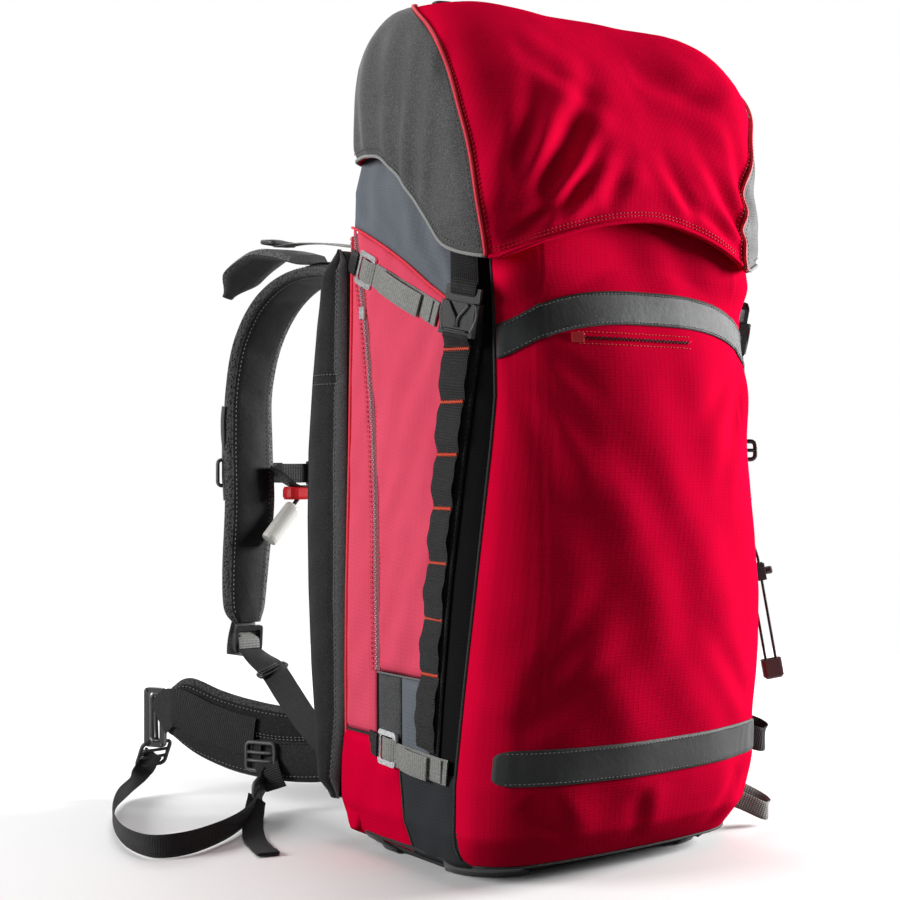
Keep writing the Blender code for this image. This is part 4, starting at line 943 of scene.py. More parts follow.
# ------------------------------------------------------------------ front stuff pocket
def front_fold(x, z):
    """tension folds and sag of the loaded front cloth"""
    v = 0.0020 * nz((x, 0, z), 8, 1.1) + 0.0010 * nz((x, 0, z), 26, 4.0)
    v += 0.0013 * math.sin((x * 0.65 + z * 0.35) * 120 + 3 * nz((x, 0, z), 7, 9)) * (0.3 + 0.7 * abs(nz((x, 0, z), 6, 5)))
    for cx, cz, dx, dz, L, w, A in ((-0.135, 0.435, 0.55, -0.83, 0.12, 0.010, 0.0026), (-0.135, 0.425, 0.30, -0.95, 0.15, 0.012, 0.0030), (-0.130, 0.43, 0.83, -0.55, 0.09, 0.009, 0.0018),
                                (0.125, 0.43, -0.45, -0.89, 0.15, 0.012, 0.0028), (0.12, 0.43, -0.75, -0.66, 0.12, 0.010, 0.0020),
                                (-0.13, 0.118, 0.80, 0.60, 0.12, 0.011, 0.0024), (-0.13, 0.122, 0.50, 0.86, 0.15, 0.012, 0.0024), (-0.12, 0.072, 0.75, -0.66, 0.07, 0.010, 0.0024),
                                (0.12, 0.120, -0.70, 0.71, 0.12, 0.011, 0.0024), (0.11, 0.07, -0.6, -0.8, 0.06, 0.009, 0.0022), (-0.02, 0.07, 0.2, -0.98, 0.05, 0.010, 0.0018)):
        s = (x - cx) * dx + (z - cz) * dz
        t = -(x - cx) * dz + (z - cz) * dx
        if 0 < s < L:
            f = math.sin(math.pi * (s / L) ** 0.6)
            v -= A * f * math.exp(-(t / w) ** 2)
            v += 0.55 * A * f * math.exp(-((t - 1.7 * w) / w) ** 2)
    return v


def band_z(x):
    return 0.4525 - 0.036 * min(abs(x) / 0.150, 1.0) ** 3.0


def low_band_z(x):
    return 0.0965 + 0.0


def top_fill(u, z):
    """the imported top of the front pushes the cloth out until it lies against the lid's flap"""
    if z < 0.452:
        return 0.0
    gap = front_surface(u, z).y - (curve(z, [0.480, 0.530, 0.560], [-0.1320, -0.1270, -0.1210]) + 0.0062)
    return max(gap, 0.0) * sstep(z, 0.452, 0.482) * (1 - min(abs(u), 1.0) ** 5) * (1 - 0.4 * sstep(z, 0.520, 0.540))


def front_skin(u, z, extra=0.0):
    """cloth surface of the front pocket, pulled in by the sewn-on bands"""
    p = front_surface(u, z)
    a = abs(u)
    pull = math.exp(-((z - band_z(p.x)) / 0.020) ** 2) * 0.0022 + math.exp(-((z - 0.0965) / 0.020) ** 2) * 0.0030 * (1 if abs(p.x) < 0.13 else 0.6)
    edge = sstep(1 - a, 0.0, 0.10) * sstep(z, 0.015, 0.04) * (1 - sstep(z, 0.528, 0.540))
    calm = 1 - 0.75 * math.exp(-((z - band_z(p.x)) / 0.016) ** 2) - 0.75 * math.exp(-((z - 0.0965) / 0.016) ** 2)
    e = (0.0028 + front_fold(p.x, z) * max(calm, 0.15) - pull) * edge + extra + top_fill(u, z)
    d = min(0.11, 1 - a)
    if d < 0.01:
        return front_surface(u, z, e)
    out = Vector((0, 0, 0))
    for k, w in ((-1, 1), (-0.5, 4), (0, 6), (0.5, 4), (1, 1)):
        out += front_surface(u + d * k, z, e) * (w / 16)
    return out


us = [-1 + 2 * k / 110 for k in range(111)]
zs = [0.0135 + (0.5400 - 0.0135) * k / 162 for k in range(163)]
G = [[front_skin(u * (1.0 if z > 0.024 else 0.93 + 0.07 * sstep(z, 0.0135, 0.024)), z) for u in us] for z in zs]
for row in (G[0], G[-1]):
    pass
shell("front_pocket_cloth", G, 0.0014, RED, replaces=["front_pocket"], slot="red_shell")
# dark piping along the pocket's side edges and its bottom seam, so that the pocket's edge has no gap
for u0, nm in ((-1, "left"), (1, "right")):
    rod("front_edge_piping_%s" % nm, [front_skin(u0 * (1.0 if z > 0.024 else 0.93 + 0.07 * sstep(z, 0.0135, 0.024)), z, 0.0004) for z in zs[2:-2:3]], 0.0014, THREAD_DARK, seg=6)
rod("front_bottom_seam", [front_skin(u * 0.93, 0.0142, 0.0004) for u in us[::3]], 0.0013, THREAD_DARK, seg=6)


def front_normal(p):
    hx, yf, yb, rc, bulge = bag_dims(p.z)
    ax = abs(p.x)
    if ax < hx - rc:
        return Vector((p.x * 0.9, -1, 0)).normalized()
    return Vector((p.x - math.copysign(hx - rc, p.x), p.y - (yf + rc), 0)).normalized()


def band(name, u0, u1, zc, half, round_l, round_r, n=120, rows_=10):
    G = []
    for i in range(rows_ + 1):
        q = -1 + 2 * i / rows_
        row = []
        for j in range(n + 1):
            t = j / n
            u = u0 + (u1 - u0) * t
            x = front_surface(u, 0.3).x
            h = half
            d0, d1 = abs(t) * abs(u1 - u0) * 0.16, (1 - t) * abs(u1 - u0) * 0.16
            if round_l and d0 < half:
                h = half * math.sqrt(max(0.02, 1 - ((half - d0) / half) ** 2)) if round_l > 1 else half * (0.62 + 0.38 * math.sqrt(max(0.0, 1 - ((half - d0) / half) ** 2)))
            if round_r and d1 < half:
                h = min(h, half * (0.62 + 0.38 * math.sqrt(max(0.0, 1 - ((half - d1) / half) ** 2))))
            z = zc(x) + q * h
            row.append(front_skin(u, z, 0.0014 + 0.0005 * (1 - q * q)))
        G.append(row)
    shell(name, G, 0.0012, BAND, slot="black_softshell")
    for q, nm in ((-0.84, "lower"), (0.84, "upper")):
        path = []
        for j in range(3, n - 2, 2):
            u = u0 + (u1 - u0) * j / n
            x = front_surface(u, 0.3).x
            path.append(front_skin(u, zc(x) + q * half, 0.0020))
        stitches("%s_stitch_%s" % (name, nm), path, front_normal, THREAD_GREY, pitch=0.0036, length=0.0021, r=0.0004)


band("front_band_upper", -0.985, 0.985, band_z, 0.0135, 0, 0)
band("front_band_lower", -0.86, 0.83, low_band_z, 0.0140, 1, 1)

# small front pocket zip under the upper band, in a shadowed slot
zu = [-0.50 + (0.245 + 0.50) * k / 40 for k in range(41)]
zl = [front_skin(u, 0.4268, 0.0006) for u in zu]
zipper("front_zip", zl, front_normal, tape=0.0022, pitch=0.0019, teeth=THREAD_DARK, tape_mat=RED, tooth=(0.0007, 0.0006))
rod("front_zip_lip", [front_skin(u, 0.4282, 0.0012) for u in zu], 0.0010, RED, seg=6)
for q, nm in ((0.0048, "upper"), (-0.0046, "lower")):
    stitches("front_zip_stitch_%s" % nm, [front_skin(u, 0.4268 + q, 0.0004) for u in zu], front_normal, THREAD_RED, pitch=0.0036, length=0.0022, r=0.00035)


# ------------------------------------------------------------------ lid
HOOD_Z = [0.480, 0.530, 0.560, 0.590, 0.620, 0.645, 0.665, 0.682, 0.695, 0.7035, 0.7080]
HOOD_HX = [0.1590, 0.1590, 0.1585, 0.1580, 0.1570, 0.1550, 0.1510, 0.1440, 0.1320, 0.1120, 0.0700]
HOOD_YF = [-0.1320, -0.1270, -0.1210, -0.1130, -0.1010, -0.0890, -0.0770, -0.0640, -0.0500, -0.0360, -0.0200]
HOOD_YB = [0.0870, 0.0870, 0.0865, 0.0860, 0.0850, 0.0825, 0.0770, 0.0680, 0.0560, 0.0420, 0.0220]
LID_IN = 0.0


def hood_point(a, z, off):
    """a from 0 at the rear middle, through the left side, to 1 at the front middle and back to 2"""
    hx, yf, yb = curve(z, HOOD_Z, HOOD_HX) - off, curve(z, HOOD_Z, HOOD_YF) + off, curve(z, HOOD_Z, HOOD_YB) - off
    c, s = math.cos(math.pi * a), math.sin(math.pi * a)
    mid, half = (yf + yb) / 2, (yb - yf) / 2
    q0 = 5.6
    p = q0 if z < 0.66 else q0 - (q0 - 2.6) * min(1.0, (z - 0.66) / 0.045)
    k = (abs(c) ** p + abs(s) ** p) ** (-1 / p)
    bulge = 0.012 * max(0.0, -c) ** 3 * max(0.0, min(1.0, (0.70 - z) / 0.08))
    return Vector((-hx * s * k, mid + half * c * k - bulge, z))


def hood_edge(a):
    p = hood_point(a, 0.53, 0.0)
    side = curve(p.y, [-0.118, -0.100, -0.070, -0.047, -0.026, -0.005, 0.020, 0.040], [0.484, 0.487, 0.497, 0.523, 0.546, 0.566, 0.581, 0.584])
    if p.x > 0:
        front = 0.490 + 0.031 * (1 - (p.x / 0.116) ** 1.7) if p.x < 0.116 else 0.490 + 0.30 * (p.x - 0.116)
        return front if p.y < -0.118 else max(side, front)
    if p.y < -0.118:
        return 0.484 + 0.037 * max(0.0, 1 - (abs(p.x) / 0.145) ** 1.7)
    return side


def seam_y(z):
    """front edge of the side panel: the piped seam between red and charcoal"""
    return curve(z, [0.470, 0.491, 0.518, 0.5465, 0.577, 0.605, 0.632, 0.6585, 0.6756, 0.690, 0.7005], [-0.1145, -0.1127, -0.1083, -0.1023, -0.0939, -0.0835, -0.0713, -0.0539, -0.0347, -0.0100, 0.0120])


def seam_a_right(z):
    """on the right the cloth is drawn round, so that the seam lies on the front corner"""
    return curve(z, [0.487, 0.520, 0.560, 0.600, 0.630, 0.660, 0.680, 0.7005], [0.806, 0.798, 0.784, 0.762, 0.734, 0.690, 0.640, 0.560])


def lid_shape(p):
    """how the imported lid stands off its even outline: fuller at the top, squarer at the front right"""
    w = sstep(p.x, 0.01, 0.13) * sstep(p.z, 0.55, 0.655) * sstep(-p.y, -0.04, 0.05)
    v = sstep(-p.x, 0.0, 0.10) * sstep(p.z, 0.62, 0.700) * sstep(p.y, -0.06, 0.03)
    low = sstep(p.x, 0.07, 0.14) * (1 - sstep(p.z, 0.52, 0.60))
    return p + Vector((0.0105, -0.0110, 0.0060)) * w + Vector((-0.0030, 0.0030, 0.0065)) * v + Vector((-0.0035, 0.0030, 0.0)) * low + Vector((0, 0, 0.0035 * sstep(p.z, 0.66, 0.70)))


def crease(x, z, cx, cz, dx, dz, L, w, A, power=0.6):
    s = (x - cx) * dx + (z - cz) * dz
    t = -(x - cx) * dz + (z - cz) * dx
    if not 0 < s < L:
        return 0.0
    f = math.sin(math.pi * (s / L) ** power)
    return A * f * (-math.exp(-(t / w) ** 2) + 0.6 * math.exp(-((t - 1.8 * w) / w) ** 2) + 0.3 * math.exp(-((t + 1.8 * w) / w) ** 2))


LID_CREASES = [(-0.140, 0.497, 0.60, 0.80, 0.20, 0.0100, 0.0078), (-0.142, 0.494, 0.80, 0.60, 0.12, 0.0070, 0.0052), (-0.143, 0.505, 0.36, 0.93, 0.15, 0.0085, 0.0044),
               (-0.135, 0.497, 0.95, 0.31, 0.10, 0.0055, 0.0034), (-0.100, 0.512, 0.62, 0.78, 0.10, 0.0060, 0.0034),
               (0.146, 0.490, -0.66, 0.75, 0.14, 0.0085, 0.0050), (0.146, 0.488, -0.88, 0.47, 0.13, 0.0070, 0.0046), (0.144, 0.500, -0.36, 0.93, 0.13, 0.0080, 0.0034),
               (0.135, 0.492, -0.97, 0.24, 0.09, 0.0050, 0.0028), (-0.05, 0.527, 0.55, 0.83, 0.07, 0.008, 0.0020), (0.050, 0.527, -0.5, 0.86, 0.07, 0.008, 0.0022),
               (-0.10, 0.66, 0.80, -0.60, 0.10, 0.010, 0.0020), (0.02, 0.655, 0.9, -0.43, 0.09, 0.011, 0.0016), (0.115, 0.665, -0.85, -0.52, 0.08, 0.010, 0.0020)]


def lid_disp(p):
    """cloth shape of the lid at a surface point"""
    front = sstep(-p.y, 0.045, 0.085)
    v = 0.0020 * nz(p, 10, 2.0) + 0.0011 * nz(p, 30, 6.0)
    if front > 0:
        for c in LID_CREASES:
            v += crease(p.x, p.z, *c) * front
        v += 0.0011 * math.sin((p.x * 0.35 + p.z) * 130 + 3 * nz(p, 12, 3)) * front * (0.3 + abs(nz(p, 8, 1)))
    side = sstep(abs(p.x), 0.140, 0.152) * (1 - front)
    if side > 0:
        low = 1 - sstep(p.z, 0.55, 0.66)
        v += side * (0.0030 * math.sin(p.y * 210 + 2.0 * nz(p, 14, 7)) * (0.25 + 0.75 * low) * sstep(p.z, 0.50, 0.56) + 0.0016 * nz(p, 24, 9))
    top = sstep(p.z, 0.690, 0.704)
    v += top * 0.0014 * math.sin(p.x * 70 + 2 * nz(p, 9, 4))
    return v


def lid_skin(a, z, extra=0.0):
    p = hood_point(a, z, 0.0)
    q = hood_point(a, z, 0.004)
    n = (p - q)
    n.z = 0.35 * sstep(z, 0.62, 0.70) * n.length
    n = n.normalized() if n.length > 1e-9 else Vector((0, 0, 1))
    k = sstep(z - hood_edge(a), -0.002, 0.020) * 0.85 + 0.15
    return lid_shape(p) + n * (lid_disp(p) * k + 0.0006 + extra)


NA = 300
lid_a = [2 * k / NA for k in range(NA)]


def lid_rows(off, n_side=44):
    rows_ = []
    for i in range(n_side + 1):
        t = i / n_side
        row = []
        for a in lid_a:
            z0 = hood_edge(a)
            row.append(lid_skin(a, z0 + (0.640 - z0) * t, -off))
        rows_.append(row)
    for z in (0.648, 0.656, 0.664, 0.671, 0.677, 0.683, 0.688, 0.6925, 0.6965, 0.7000, 0.7028, 0.7050, 0.7066, 0.7077):
        rows_.append([lid_skin(a, z, -off) for a in lid_a])
    last = rows_[-1]
    c = Vector((0, 0.001, 0.7119 - off))
    for q in (0.80, 0.60, 0.40, 0.20, 0.03):
        rows_.append([c + (p - c) * q + Vector((0, 0, 0.0010 * (1 - q) + 0.0008 * nz(p * q, 22, 5))) for p in last])
    return rows_


G = lid_rows(0.0)
C0 = Vector((0, 0, 0.58))
shell("lid_cloth", G, 0.0022, RED, "lid", ["hood"], "red_shell", wrap=True, centre=lambda p: Vector((p.x * 0.2, p.y * 0.2, 0.57)))


def lid_line(y_of_z, z0, z1, n, sd=-1):
    """(a, z) pairs on the lid's side surface at depth y(z); a counts from the rear middle on either side"""
    out = []
    for k in range(n + 1):
        z = z0 + (z1 - z0) * k / max(n, 1)
        y = y_of_z(z)
        lo, hi = 0.0, 1.0
        for _ in range(26):
            mid = (lo + hi) / 2
            if hood_point(mid if sd < 0 else 2 - mid, z, 0.0).y > y:
                lo = mid
            else:
                hi = mid
        out.append((lo, z))
    return out


# charcoal side panels, each from the piped seam round to the rear, with their piping, binding and stitches
Zt, cols = 0.7005, 90
SEAM_A = {}
for sd, sname in ((-1, "left"), (1, "right")):
    line_at = (lambda z0, z1, n: lid_line(seam_y, z0, z1, n, -1)) if sd < 0 else (lambda z0, z1, n: [(seam_a_right(z0 + (z1 - z0) * k / max(n, 1)), z0 + (z1 - z0) * k / max(n, 1)) for k in range(n + 1)])

    def at(a, z, extra=0.0, sd=sd):
        return lid_skin(a if sd < 0 else 2 - a, z, extra)

    def side_a(z, line_at=line_at):
        return line_at(z, z, 0)[0][0]

    def edge_z(a, sd=sd):
        return hood_edge(a if sd < 0 else 2 - a)
    top_a = side_a(Zt)
    G = []
    for i in range(61):
        t = i / 60
        row = []
        for j in range(cols + 1):
            q = j / cols
            z = 0.60
            a = 0.0
            for _ in range(3):
                a = 0.06 + (side_a(z) - 0.06) * q
                z0 = edge_z(a) + 0.0008
                z = z0 + (Zt - z0) * t
            d = min(q * 0.20, (1 - q) * 0.20, (z - z0), (Zt - z) * 1.3)
            row.append(at(a, z, 0.0006 + 0.0030 * sstep(d, 0.0, 0.012)))
        G.append(row)
    shell("lid_side_panel_" + sname, G, 0.0016, CHARCOAL, "lid", slot="black_softshell", centre=lambda p: Vector((p.x * 0.3, 0, 0.57)))
    seam = line_at(0.4865 if sd < 0 else 0.4915, Zt, 70)
    rod("lid_seam_piping_" + sname, [at(a, z, 0.0022) for a, z in seam], 0.0015, PIPE_RED, "lid", seg=8)
    for q, nm in ((-0.0048, "rear"), (0.0046, "front")):
        stitches("lid_seam_stitch_%s_%s" % (nm, sname), [at(a + q * 1.6, z, 0.0010 if q > 0 else 0.0030) for a, z in seam[2:-2]], lambda p: Vector((p.x, p.y * 0.7, 0)), THREAD_DARK if q < 0 else THREAD_DEEP, body="lid", pitch=0.0038, length=0.0024, r=0.0004)
    rod("lid_top_piping_" + sname, [at(0.06 + (top_a - 0.06) * k / 50, Zt, 0.0016) for k in range(51)], 0.0015, PIPE_RED, "lid", seg=8)
    # grey binding on the lid's lower side edge
    end_a = side_a(0.487)
    SEAM_A[sname] = end_a
    edge_pts = [(0.03 + (end_a - 0.03) * k / 90) for k in range(91)]
    rod("lid_side_binding_" + sname, [at(a, edge_z(a) + 0.0012, 0.0014) for a in edge_pts], 0.0015, PIPE_GREY, "lid", seg=8)
    stitches("lid_side_hem_stitch_" + sname, [at(a, edge_z(a) + 0.0075, 0.0032) for a in edge_pts[4:-4]], lambda p: Vector((p.x, p.y * 0.3, 0)), THREAD_GREY, body="lid", pitch=0.0038, length=0.0024, r=0.0004)
fr = [SEAM_A["left"] + 0.004 + (2 - SEAM_A["left"] - SEAM_A["right"] - 0.008) * k / 120 for k in range(121)]
rod("lid_front_hem", [lid_skin(a, hood_edge(a) + 0.0014, 0.0004) for a in fr], 0.0016, RED, "lid", seg=8)
stitches("lid_front_hem_stitch", [lid_skin(a, hood_edge(a) + 0.0085, 0.0002) for a in fr[2:-2]], Vector((0, -1, 0)), THREAD_DEEP, body="lid", pitch=0.0038, length=0.0025, r=0.00038)
stitches("lid_front_hem_stitch_low", [lid_skin(a, hood_edge(a) + 0.0058, 0.0002) for a in fr[2:-2]], Vector((0, -1, 0)), THREAD_DEEP, body="lid", pitch=0.0038, length=0.0025, r=0.00038)
# grab ring webbing and small side-release buckle on the lid's crown
cr = [Vector((-0.112, 0.050, 0.7050)), Vector((-0.107, 0.046, 0.7135)), Vector((-0.095, 0.039, 0.7190)), Vector((-0.077, 0.031, 0.7200)), Vector((-0.060, 0.026, 0.7172))]
strap("lid_crown_strap", smooth_path(cr, 16), (0.3, 1, 0), 0.0065, 0.0014, WEB_BLACK, "lid", slot="black_webbing")
ladder_lock("lid_crown_lock", (-0.086, 0.0345, 0.7218), (0.3, 1, 0), (1, -0.35, 0.02), (0, 0, 1), (0.018, 0.014), PLASTIC, "lid", thick=0.003)
for k in range(3):
    a = 0.14 + 0.055 * k
    rod("lid_crown_loop_%d" % (k + 1), smooth_path([lid_skin(a, 0.699, 0.001), lid_skin(a + 0.008, 0.703, 0.004), lid_skin(a + 0.016, 0.699, 0.001)], 9), 0.0011, PIPE_RED, "lid", seg=6)


# ------------------------------------------------------------------ padded pieces: closed grids swelled by cloth simulation
def closed(name, G, H, mats, body="pack", replaces=(), slot=None, fmat=None, both=False, sharp=None):
    """closed solid from an outer grid G and a backing grid H of the same size"""
    R, C = len(G), len(G[0])
    verts = [Vector(p) for row in G for p in row] + [Vector(p) for row in H for p in row]
    base = R * C
    uvs, vv = [], 0.0
    for i in range(R):
        uu = 0.0
        if i:
            vv += (Vector(G[i][C // 2]) - Vector(G[i - 1][C // 2])).length
        for j in range(C):
            if j:
                uu += (Vector(G[i][j]) - Vector(G[i][j - 1])).length
            uvs.append((uu, vv))
    uvs = uvs + list(uvs)
    faces, fm = [], []
    f = fmat or (lambda i, j, back: 0)
    for i in range(R - 1):
        for j in range(C - 1):
            a, b, c, d = i * C + j, i * C + j + 1, (i + 1) * C + j + 1, (i + 1) * C + j
            faces += [(a, b, c, d), (base + d, base + c, base + b, base + a)]
            fm += [f(i, j, False), f(i, j, True)]
    loop = [(0, j) for j in range(C)] + [(i, C - 1) for i in range(1, R)] + [(R - 1, j) for j in range(C - 2, -1, -1)] + [(i, 0) for i in range(R - 2, 0, -1)]
    for k in range(len(loop)):
        (i0, j0), (i1, j1) = loop[k], loop[(k + 1) % len(loop)]
        a, b = i0 * C + j0, i1 * C + j1
        faces.append((a, base + a, base + b, b))
        fm.append(f(min(i0, R - 2), min(j0, C - 2), False))
    ob = mesh_object(name, verts, faces, mats, uvs, fm, sharp=sharp)
    register(ob, body, replaces, slot)
    if both:
        mirror(ob)
    return ob


def swell(ob, pin, cap=0.005, pressure=4.0, frames=20, stiff=14.0, keep=None):
    """cloth simulation of a stuffed piece: pin(co) from 0 to 1 holds seams and edges; the move of each point is capped"""
    me = ob.data
    start = [v.co.copy() for v in me.vertices]
    vg = ob.vertex_groups.new(name="sewn")
    for v in me.vertices:
        w = min(max(pin(v.co), 0.0), 1.0)
        if w > 0:
            vg.add([v.index], w, "REPLACE")
    md = ob.modifiers.new("cloth", "CLOTH")
    st = md.settings
    st.quality, st.mass = 6, 0.15
    st.tension_stiffness = st.compression_stiffness = stiff
    st.shear_stiffness, st.bending_stiffness = 4.0, 0.15
    st.use_pressure, st.uniform_pressure_force = True, pressure
    st.effector_weights.gravity = 0.0
    st.vertex_group_mass = "sewn"
    md.collision_settings.use_collision = False
    md.point_cache.frame_start, md.point_cache.frame_end = 1, frames
    for f in range(1, frames + 1):
        SCENE.frame_set(f)
    dg = bpy.context.evaluated_depsgraph_get()
    ev = ob.evaluated_get(dg)
    got = [v.co.copy() for v in ev.data.vertices]
    ob.modifiers.remove(md)
    ob.vertex_groups.remove(vg)
    for v, s, g in zip(me.vertices, start, got):
        d = g - s
        if not all(math.isfinite(q) for q in d):
            d = Vector((0, 0, 0))
        if d.length > cap:
            d = d * (cap / d.length)
        v.co = s + d
        if keep:
            v.co = keep(v.co, s)
    SCENE.frame_set(1)
    me.update()
    return ob


def twin_of(left_name):
    """remake the right-hand twin after the left one has been swelled"""
    return mirror(bpy.data.objects[left_name])


# airbag cover flap: a long stuffed softshell panel with a cross seam and a stitched front strip
POCKET_IN, POCKET_MOUTH, POCKET_OUT = 0.0975, 0.1520, 0.1640


def flap_rear(z):
    r = back_y(z) - 0.0006
    if z > 0.488:
        r -= 0.016 * sstep(z, 0.488, 0.514)
    if z < 0.056:
        r -= 0.012 * sstep(0.056 - z, 0.0, 0.018)
    return r


def flap_front(z):
    r = 0.0788
    if z > 0.500:
        r += 0.010 * sstep(z, 0.500, 0.514)
    r += 0.0125 * sstep(0.125 - z, 0.0, 0.085)
    return r


R_, C_ = 96, 20
G, H = [], []
for i in range(R_ + 1):
    z = 0.0395 + (0.5130 - 0.0395) * i / R_
    g, h = [], []
    for j in range(C_ + 1):
        q = j / C_
        y = flap_front(z) + (flap_rear(z) - flap_front(z)) * q
        e = min(z - 0.0395, 0.5130 - z)
        puff = (math.sin(math.pi * min(max(q, 0.0), 1.0)) ** 0.62) * (0.25 + 0.75 * sstep(e, 0.0, 0.020))
        groove = 0.0026 * math.exp(-((z - 0.4010) / 0.0042) ** 2) + 0.0016 * math.exp(-((q - 0.20) / 0.035) ** 2)
        x = POCKET_MOUTH + 0.0012 + 0.0108 * puff - groove * min(1.0, 4 * q * (1 - q) * 2)
        x += 0.0010 * nz((0.2, y, z), 18, 3.3) * sstep(puff, 0.3, 0.8) + 0.0006 * math.sin(z * 160 + y * 60) * sstep(puff, 0.5, 1.0)
        g.append(Vector((-x, y, z)))
        h.append(Vector((-(POCKET_MOUTH + 0.0006), y, z)))
    G.append(g)
    H.append(h)
flap = closed("airbag_cover_left", G, H, [SOFT, SOFT_GREY], "flap_left", ["airbag_flap_left"], "black_softshell", fmat=lambda i, j, back: 1 if (j < 4 and not back) else 0, sharp=60)


def flap_pin(c):
    q = (c.y - flap_front(c.z)) / max(flap_rear(c.z) - flap_front(c.z), 0.01)
    back = 1.0 if -c.x < POCKET_MOUTH + 0.0009 else 0.0
    e = min(q, 1 - q)
    return max(back, 1 - sstep(e, 0.02, 0.07), 1 - sstep(min(c.z - 0.0395, 0.513 - c.z), 0.002, 0.010), math.exp(-((c.z - 0.401) / 0.006) ** 2), math.exp(-((q - 0.20) / 0.05) ** 2))


swell(flap, flap_pin, cap=0.0022, pressure=3.5)
twin_of("airbag_cover_left")


def flap_at(q, z, extra=0.0):
    y = flap_front(z) + (flap_rear(z) - flap_front(z)) * q
    puff = math.sin(math.pi * q) ** 0.62
    groove = 0.0026 * math.exp(-((z - 0.4010) / 0.0042) ** 2) + 0.0016 * math.exp(-((q - 0.20) / 0.035) ** 2)
    return Vector((-(POCKET_MOUTH + 0.0012 + 0.0108 * puff - groove * min(1.0, 8 * q * (1 - q)) + extra), y, z))


stitches("cover_front_stitch_left", [flap_at(0.155, 0.058 + 0.44 * k / 120, 0.0008) for k in range(121)], (-1, -0.4, 0), THREAD_GREY, body="flap_left", both=True, pitch=0.0044, length=0.0026, r=0.00042)
for q, nm in ((0.0040, "upper"), (-0.0040, "lower")):
    stitches("cover_cross_stitch_%s_left" % nm, [flap_at(0.10 + 0.80 * k / 30, 0.401 + q, 0.0014) for k in range(31)], (-1, 0, 0), THREAD_GREY, body="flap_left", both=True, pitch=0.0036, length=0.0022, r=0.0004)
rod("cover_rear_binding_left", [Vector((-(POCKET_MOUTH + 0.0016), flap_rear(0.048 + 0.456 * k / 80), 0.048 + 0.456 * k / 80)) for k in range(81)], 0.0019, MESH, "flap_left", seg=8, both=True)

# airbag pocket: sewn tray behind the cover
def pocket_outline(inset, seg=6):
    pts = []
    front, lo, hi = 0.0785 + inset, 0.040 + inset, 0.512 - inset
    r = max(0.012 - inset, 0.004)
    for k in range(seg + 1):
        a = math.radians(180 + 90 * k / seg)
        pts.append((front + r + r * math.cos(a), lo + r + r * math.sin(a)))
    yb = back_y(lo) - inset - 0.002
    pts += [(yb - 0.010, lo), (yb - 0.005, lo + 0.003), (yb - 0.002, lo + 0.010)]
    for k in range(36):
        z = 0.062 + (0.484 - 0.062) * k / 35
        pts.append((back_y(z) - inset, z))
    pts += [(back_y(0.49) - inset, 0.49 - inset * 0.5), (back_y(0.50) - inset - 0.003, hi - 0.010), (back_y(0.50) - inset - 0.006, hi - 0.006), (back_y(0.50) - inset - 0.014, hi)]
    for k in range(seg + 1):
        a = math.radians(90 + 90 * k / seg)
        pts.append((front + r + r * math.cos(a), hi - r + r * math.sin(a)))
    return pts


loops = [(POCKET_IN, 0.0012), (POCKET_IN + 0.0012, 0.0002)] + [(POCKET_IN + 0.004 + (POCKET_MOUTH - 0.0060 - POCKET_IN) * k / 10, 0.0) for k in range(11)] + [(POCKET_MOUTH - 0.0006, 0.0002), (POCKET_MOUTH - 0.0002, 0.0008), (POCKET_MOUTH - 0.0006, 0.0019), (POCKET_MOUTH - 0.004, 0.0020), (POCKET_IN + 0.0022, 0.0021)]
verts, faces = [], []
uvs = []
np_ = len(pocket_outline(0.0))
for x, ins in loops:
    run, prev = 0.0, None
    for y, z in pocket_outline(ins):
        if prev:
            run += math.hypot(y - prev[0], z - prev[1])
        prev = (y, z)
        w = 0.0008 * nz((x, y, z), 40, 2.2) if POCKET_IN + 0.006 < x < POCKET_MOUTH - 0.006 and ins == 0.0 else 0.0
        verts.append(Vector((-x, y - abs(w) * (1 if y > 0.1 else 0), z)))
        uvs.append((x, run))
for i in range(len(loops) - 1):
    for k in range(np_):
        a, b = i * np_ + k, i * np_ + (k + 1) % np_
        faces.append((a, b, b + np_, a + np_))
faces += [tuple(reversed(range(np_))), tuple(range((len(loops) - 1) * np_, len(loops) * np_))]
register(mesh_object("airbag_tray_left", verts, faces, SOFT, uvs, None, sharp=50), "pack", ["airbag_pocket_left"], "black_softshell")
mirror(bpy.data.objects["airbag_tray_left"])

# folded airbags: a stack of pleats
G, H = [], []
verts, faces, uvs = [], [], []
seg = 28
for i in range(111):
    z = 0.086 + 0.328 * i / 110
    fold = abs(math.sin(math.pi * (z - 0.086) / 0.0137)) ** 0.5
    e = sstep(min(z - 0.086, 0.414 - z), 0.0, 0.006)
    x0, x1, y0, y1 = POCKET_IN + 0.0052, POCKET_MOUTH - 0.0034, 0.0842, back_y(z) - 0.0075
    cx, cy, hx_, hy_ = (x0 + x1) / 2, (y0 + y1) / 2, (x1 - x0) / 2, (y1 - y0) / 2
    for k in range(seg):
        a = 2 * math.pi * k / seg
        c, s = math.cos(a), math.sin(a)
        kk = (abs(c) ** 5 + abs(s) ** 5) ** (-0.2)
        sc = (0.80 + 0.20 * e) * (0.955 + 0.045 * fold) * (1 - 0.02 * abs(nz((c, s, z * 30), 1.0, 2.0)))
        verts.append(Vector((-(cx + hx_ * c * kk * sc), cy + hy_ * s * kk * sc, z)))
        uvs.append((a * 0.02, z))
for i in range(110):
    for k in range(seg):
        a, b = i * seg + k, i * seg + (k + 1) % seg
        faces.append((a, b, b + seg, a + seg))
faces += [tuple(reversed(range(seg))), tuple(range(110 * seg, 111 * seg))]
register(mesh_object("folded_airbag_left", verts, faces, ORANGE, uvs), "pack", ["airbag_left"], "airbag_cloth")
mirror(bpy.data.objects["folded_airbag_left"])

